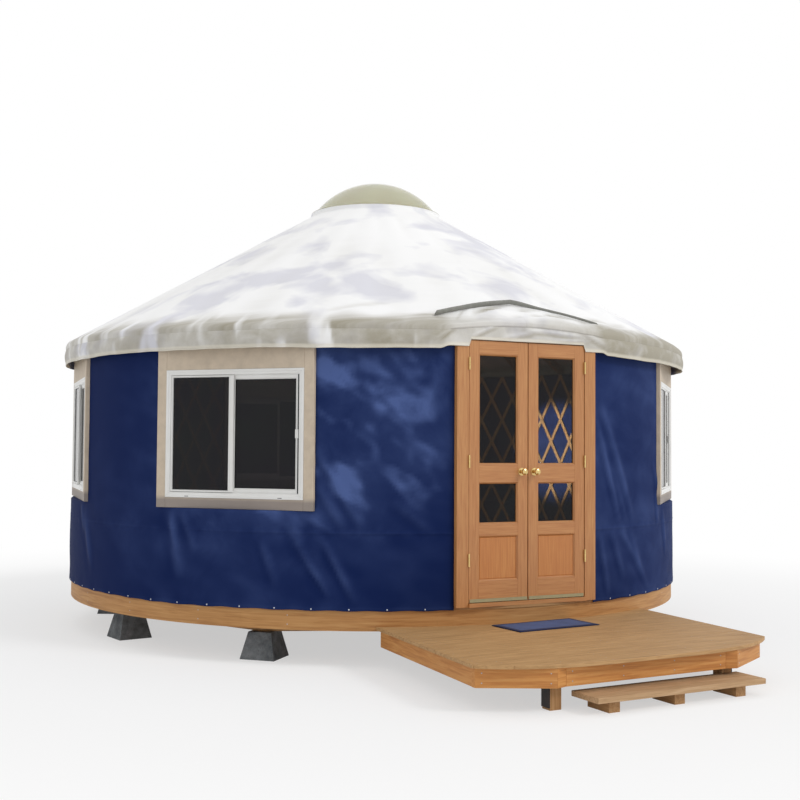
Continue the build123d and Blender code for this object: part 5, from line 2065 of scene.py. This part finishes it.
    def paint(self) -> None:
        """Gives each CAD node that stays its finish."""
        nodes = {
            "cast_concrete": ["pier_blocks"],
            "framing_along": ["floor_joists", "porch_joists", "step_supports"],
            "framing_round": ["floor_beams"],
            "framing_upright": ["porch_posts"],
            "floor_boards": ["floor_deck"],
            "rim_band": ["fascia_band"],
            "dark_steel": ["post_brackets"],
            "slats_left": ["lattice_outer_slats"],
            "slats_right": ["lattice_inner_slats"],
            "steel_rope": ["top_cable"],
            "window_pane": ["window_glass"],
            "door_pane": ["left_door_panes", "right_door_panes"],
            "fir_upright": ["door_jambs"],
            "fir_panel": ["left_door_panel", "right_door_panel"],
            "fir_level": ["door_head", "door_sill"],
            "polished_brass": ["door_frame_hinges", "left_door_hinges", "right_door_hinges", "left_door_knobs",
                               "right_door_knobs"],
            "olive_rubber": ["left_door_sweep", "right_door_sweep"],
            "rafter_wood": ["rafters"],
            "ring_wood": ["centre_ring", "dome_rim"],
            "dome_acrylic": ["skylight_dome"],
        }
        for finish, names in nodes.items():
            for name in names:
                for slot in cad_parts[name].material_slots:
                    slot.material = self.finishes[finish]

    def build(self) -> None:
        """Builds and dresses the whole house."""
        self.make_finishes()
        self.paint()
        house, finishes = self.house, self.finishes
        wall = Wall(house)
        eave = Eave(house)
        roof = Roof(house, eave)
        wall.build(finishes["blue_wall_cloth"])
        roof.build(finishes["roof_cloth_white"])
        Valance(house, eave, roof).build(finishes["eave_cloth_grey"])
        Diverter(house).build(finishes["grey_strip"])
        doors = [Door(-1), Door(1)]
        for door in doors:
            door.build(finishes["fir_boards"])
        windows = Windows(house)
        windows.build(finishes["white_vinyl"], finishes["black_rubber"], finishes["tan_paint"])
        porch = Porch(house)
        porch.deck(finishes["deck_boards"])
        porch.rim_boards(finishes["rim_boards"])
        porch.step(finishes["step_wood"])
        porch.mat(finishes["mat_weave"])
        fastenings = Fastenings(house)
        tree, sockets = Heads.tree()
        for heads, spots, finish in (
            (Heads("wall_snaps", 0.0068, 0.0035, "window_vinyl"), fastenings.snaps(wall), "white_nylon"),
            (Heads("lattice_rivets", 0.006, 0.003, "steel"), fastenings.rivets(), "bright_zinc"),
            (Heads("dome_rim_bolts", 0.008, 0.005, "steel"), fastenings.rim_bolts(), "bright_zinc"),
            (Heads("porch_deck_screws", 0.0042, 0.0009, "steel"), porch.screws(), "bright_zinc"),
            (Heads("porch_rim_screws", 0.005, 0.0012, "steel"), porch.rim_screws(), "bright_zinc"),
            (Heads("fascia_screws", 0.005, 0.0014, "steel"), fastenings.band_screws(), "bright_zinc"),
            (Heads("surround_screws", 0.0042, 0.001, "trim"), windows.screws(), "tan_paint"),
            (Heads("left_knob_screws", 0.003, 0.0012, "brass", "left_door"), doors[0].screws(), "polished_brass"),
            (Heads("right_knob_screws", 0.003, 0.0012, "brass", "right_door"), doors[1].screws(), "polished_brass"),
        ):
            heads.build(spots, finishes[finish], tree, sockets)


def main() -> None:
    """Builds and dresses the house, then its light and camera."""
    logging.basicConfig(level=logging.INFO, format="%(name)s: %(message)s")
    Studio().build()
    Yurt(House.from_frame()).build()
    bpy.context.view_layer.update()


if __name__ == "__main__":
    main()
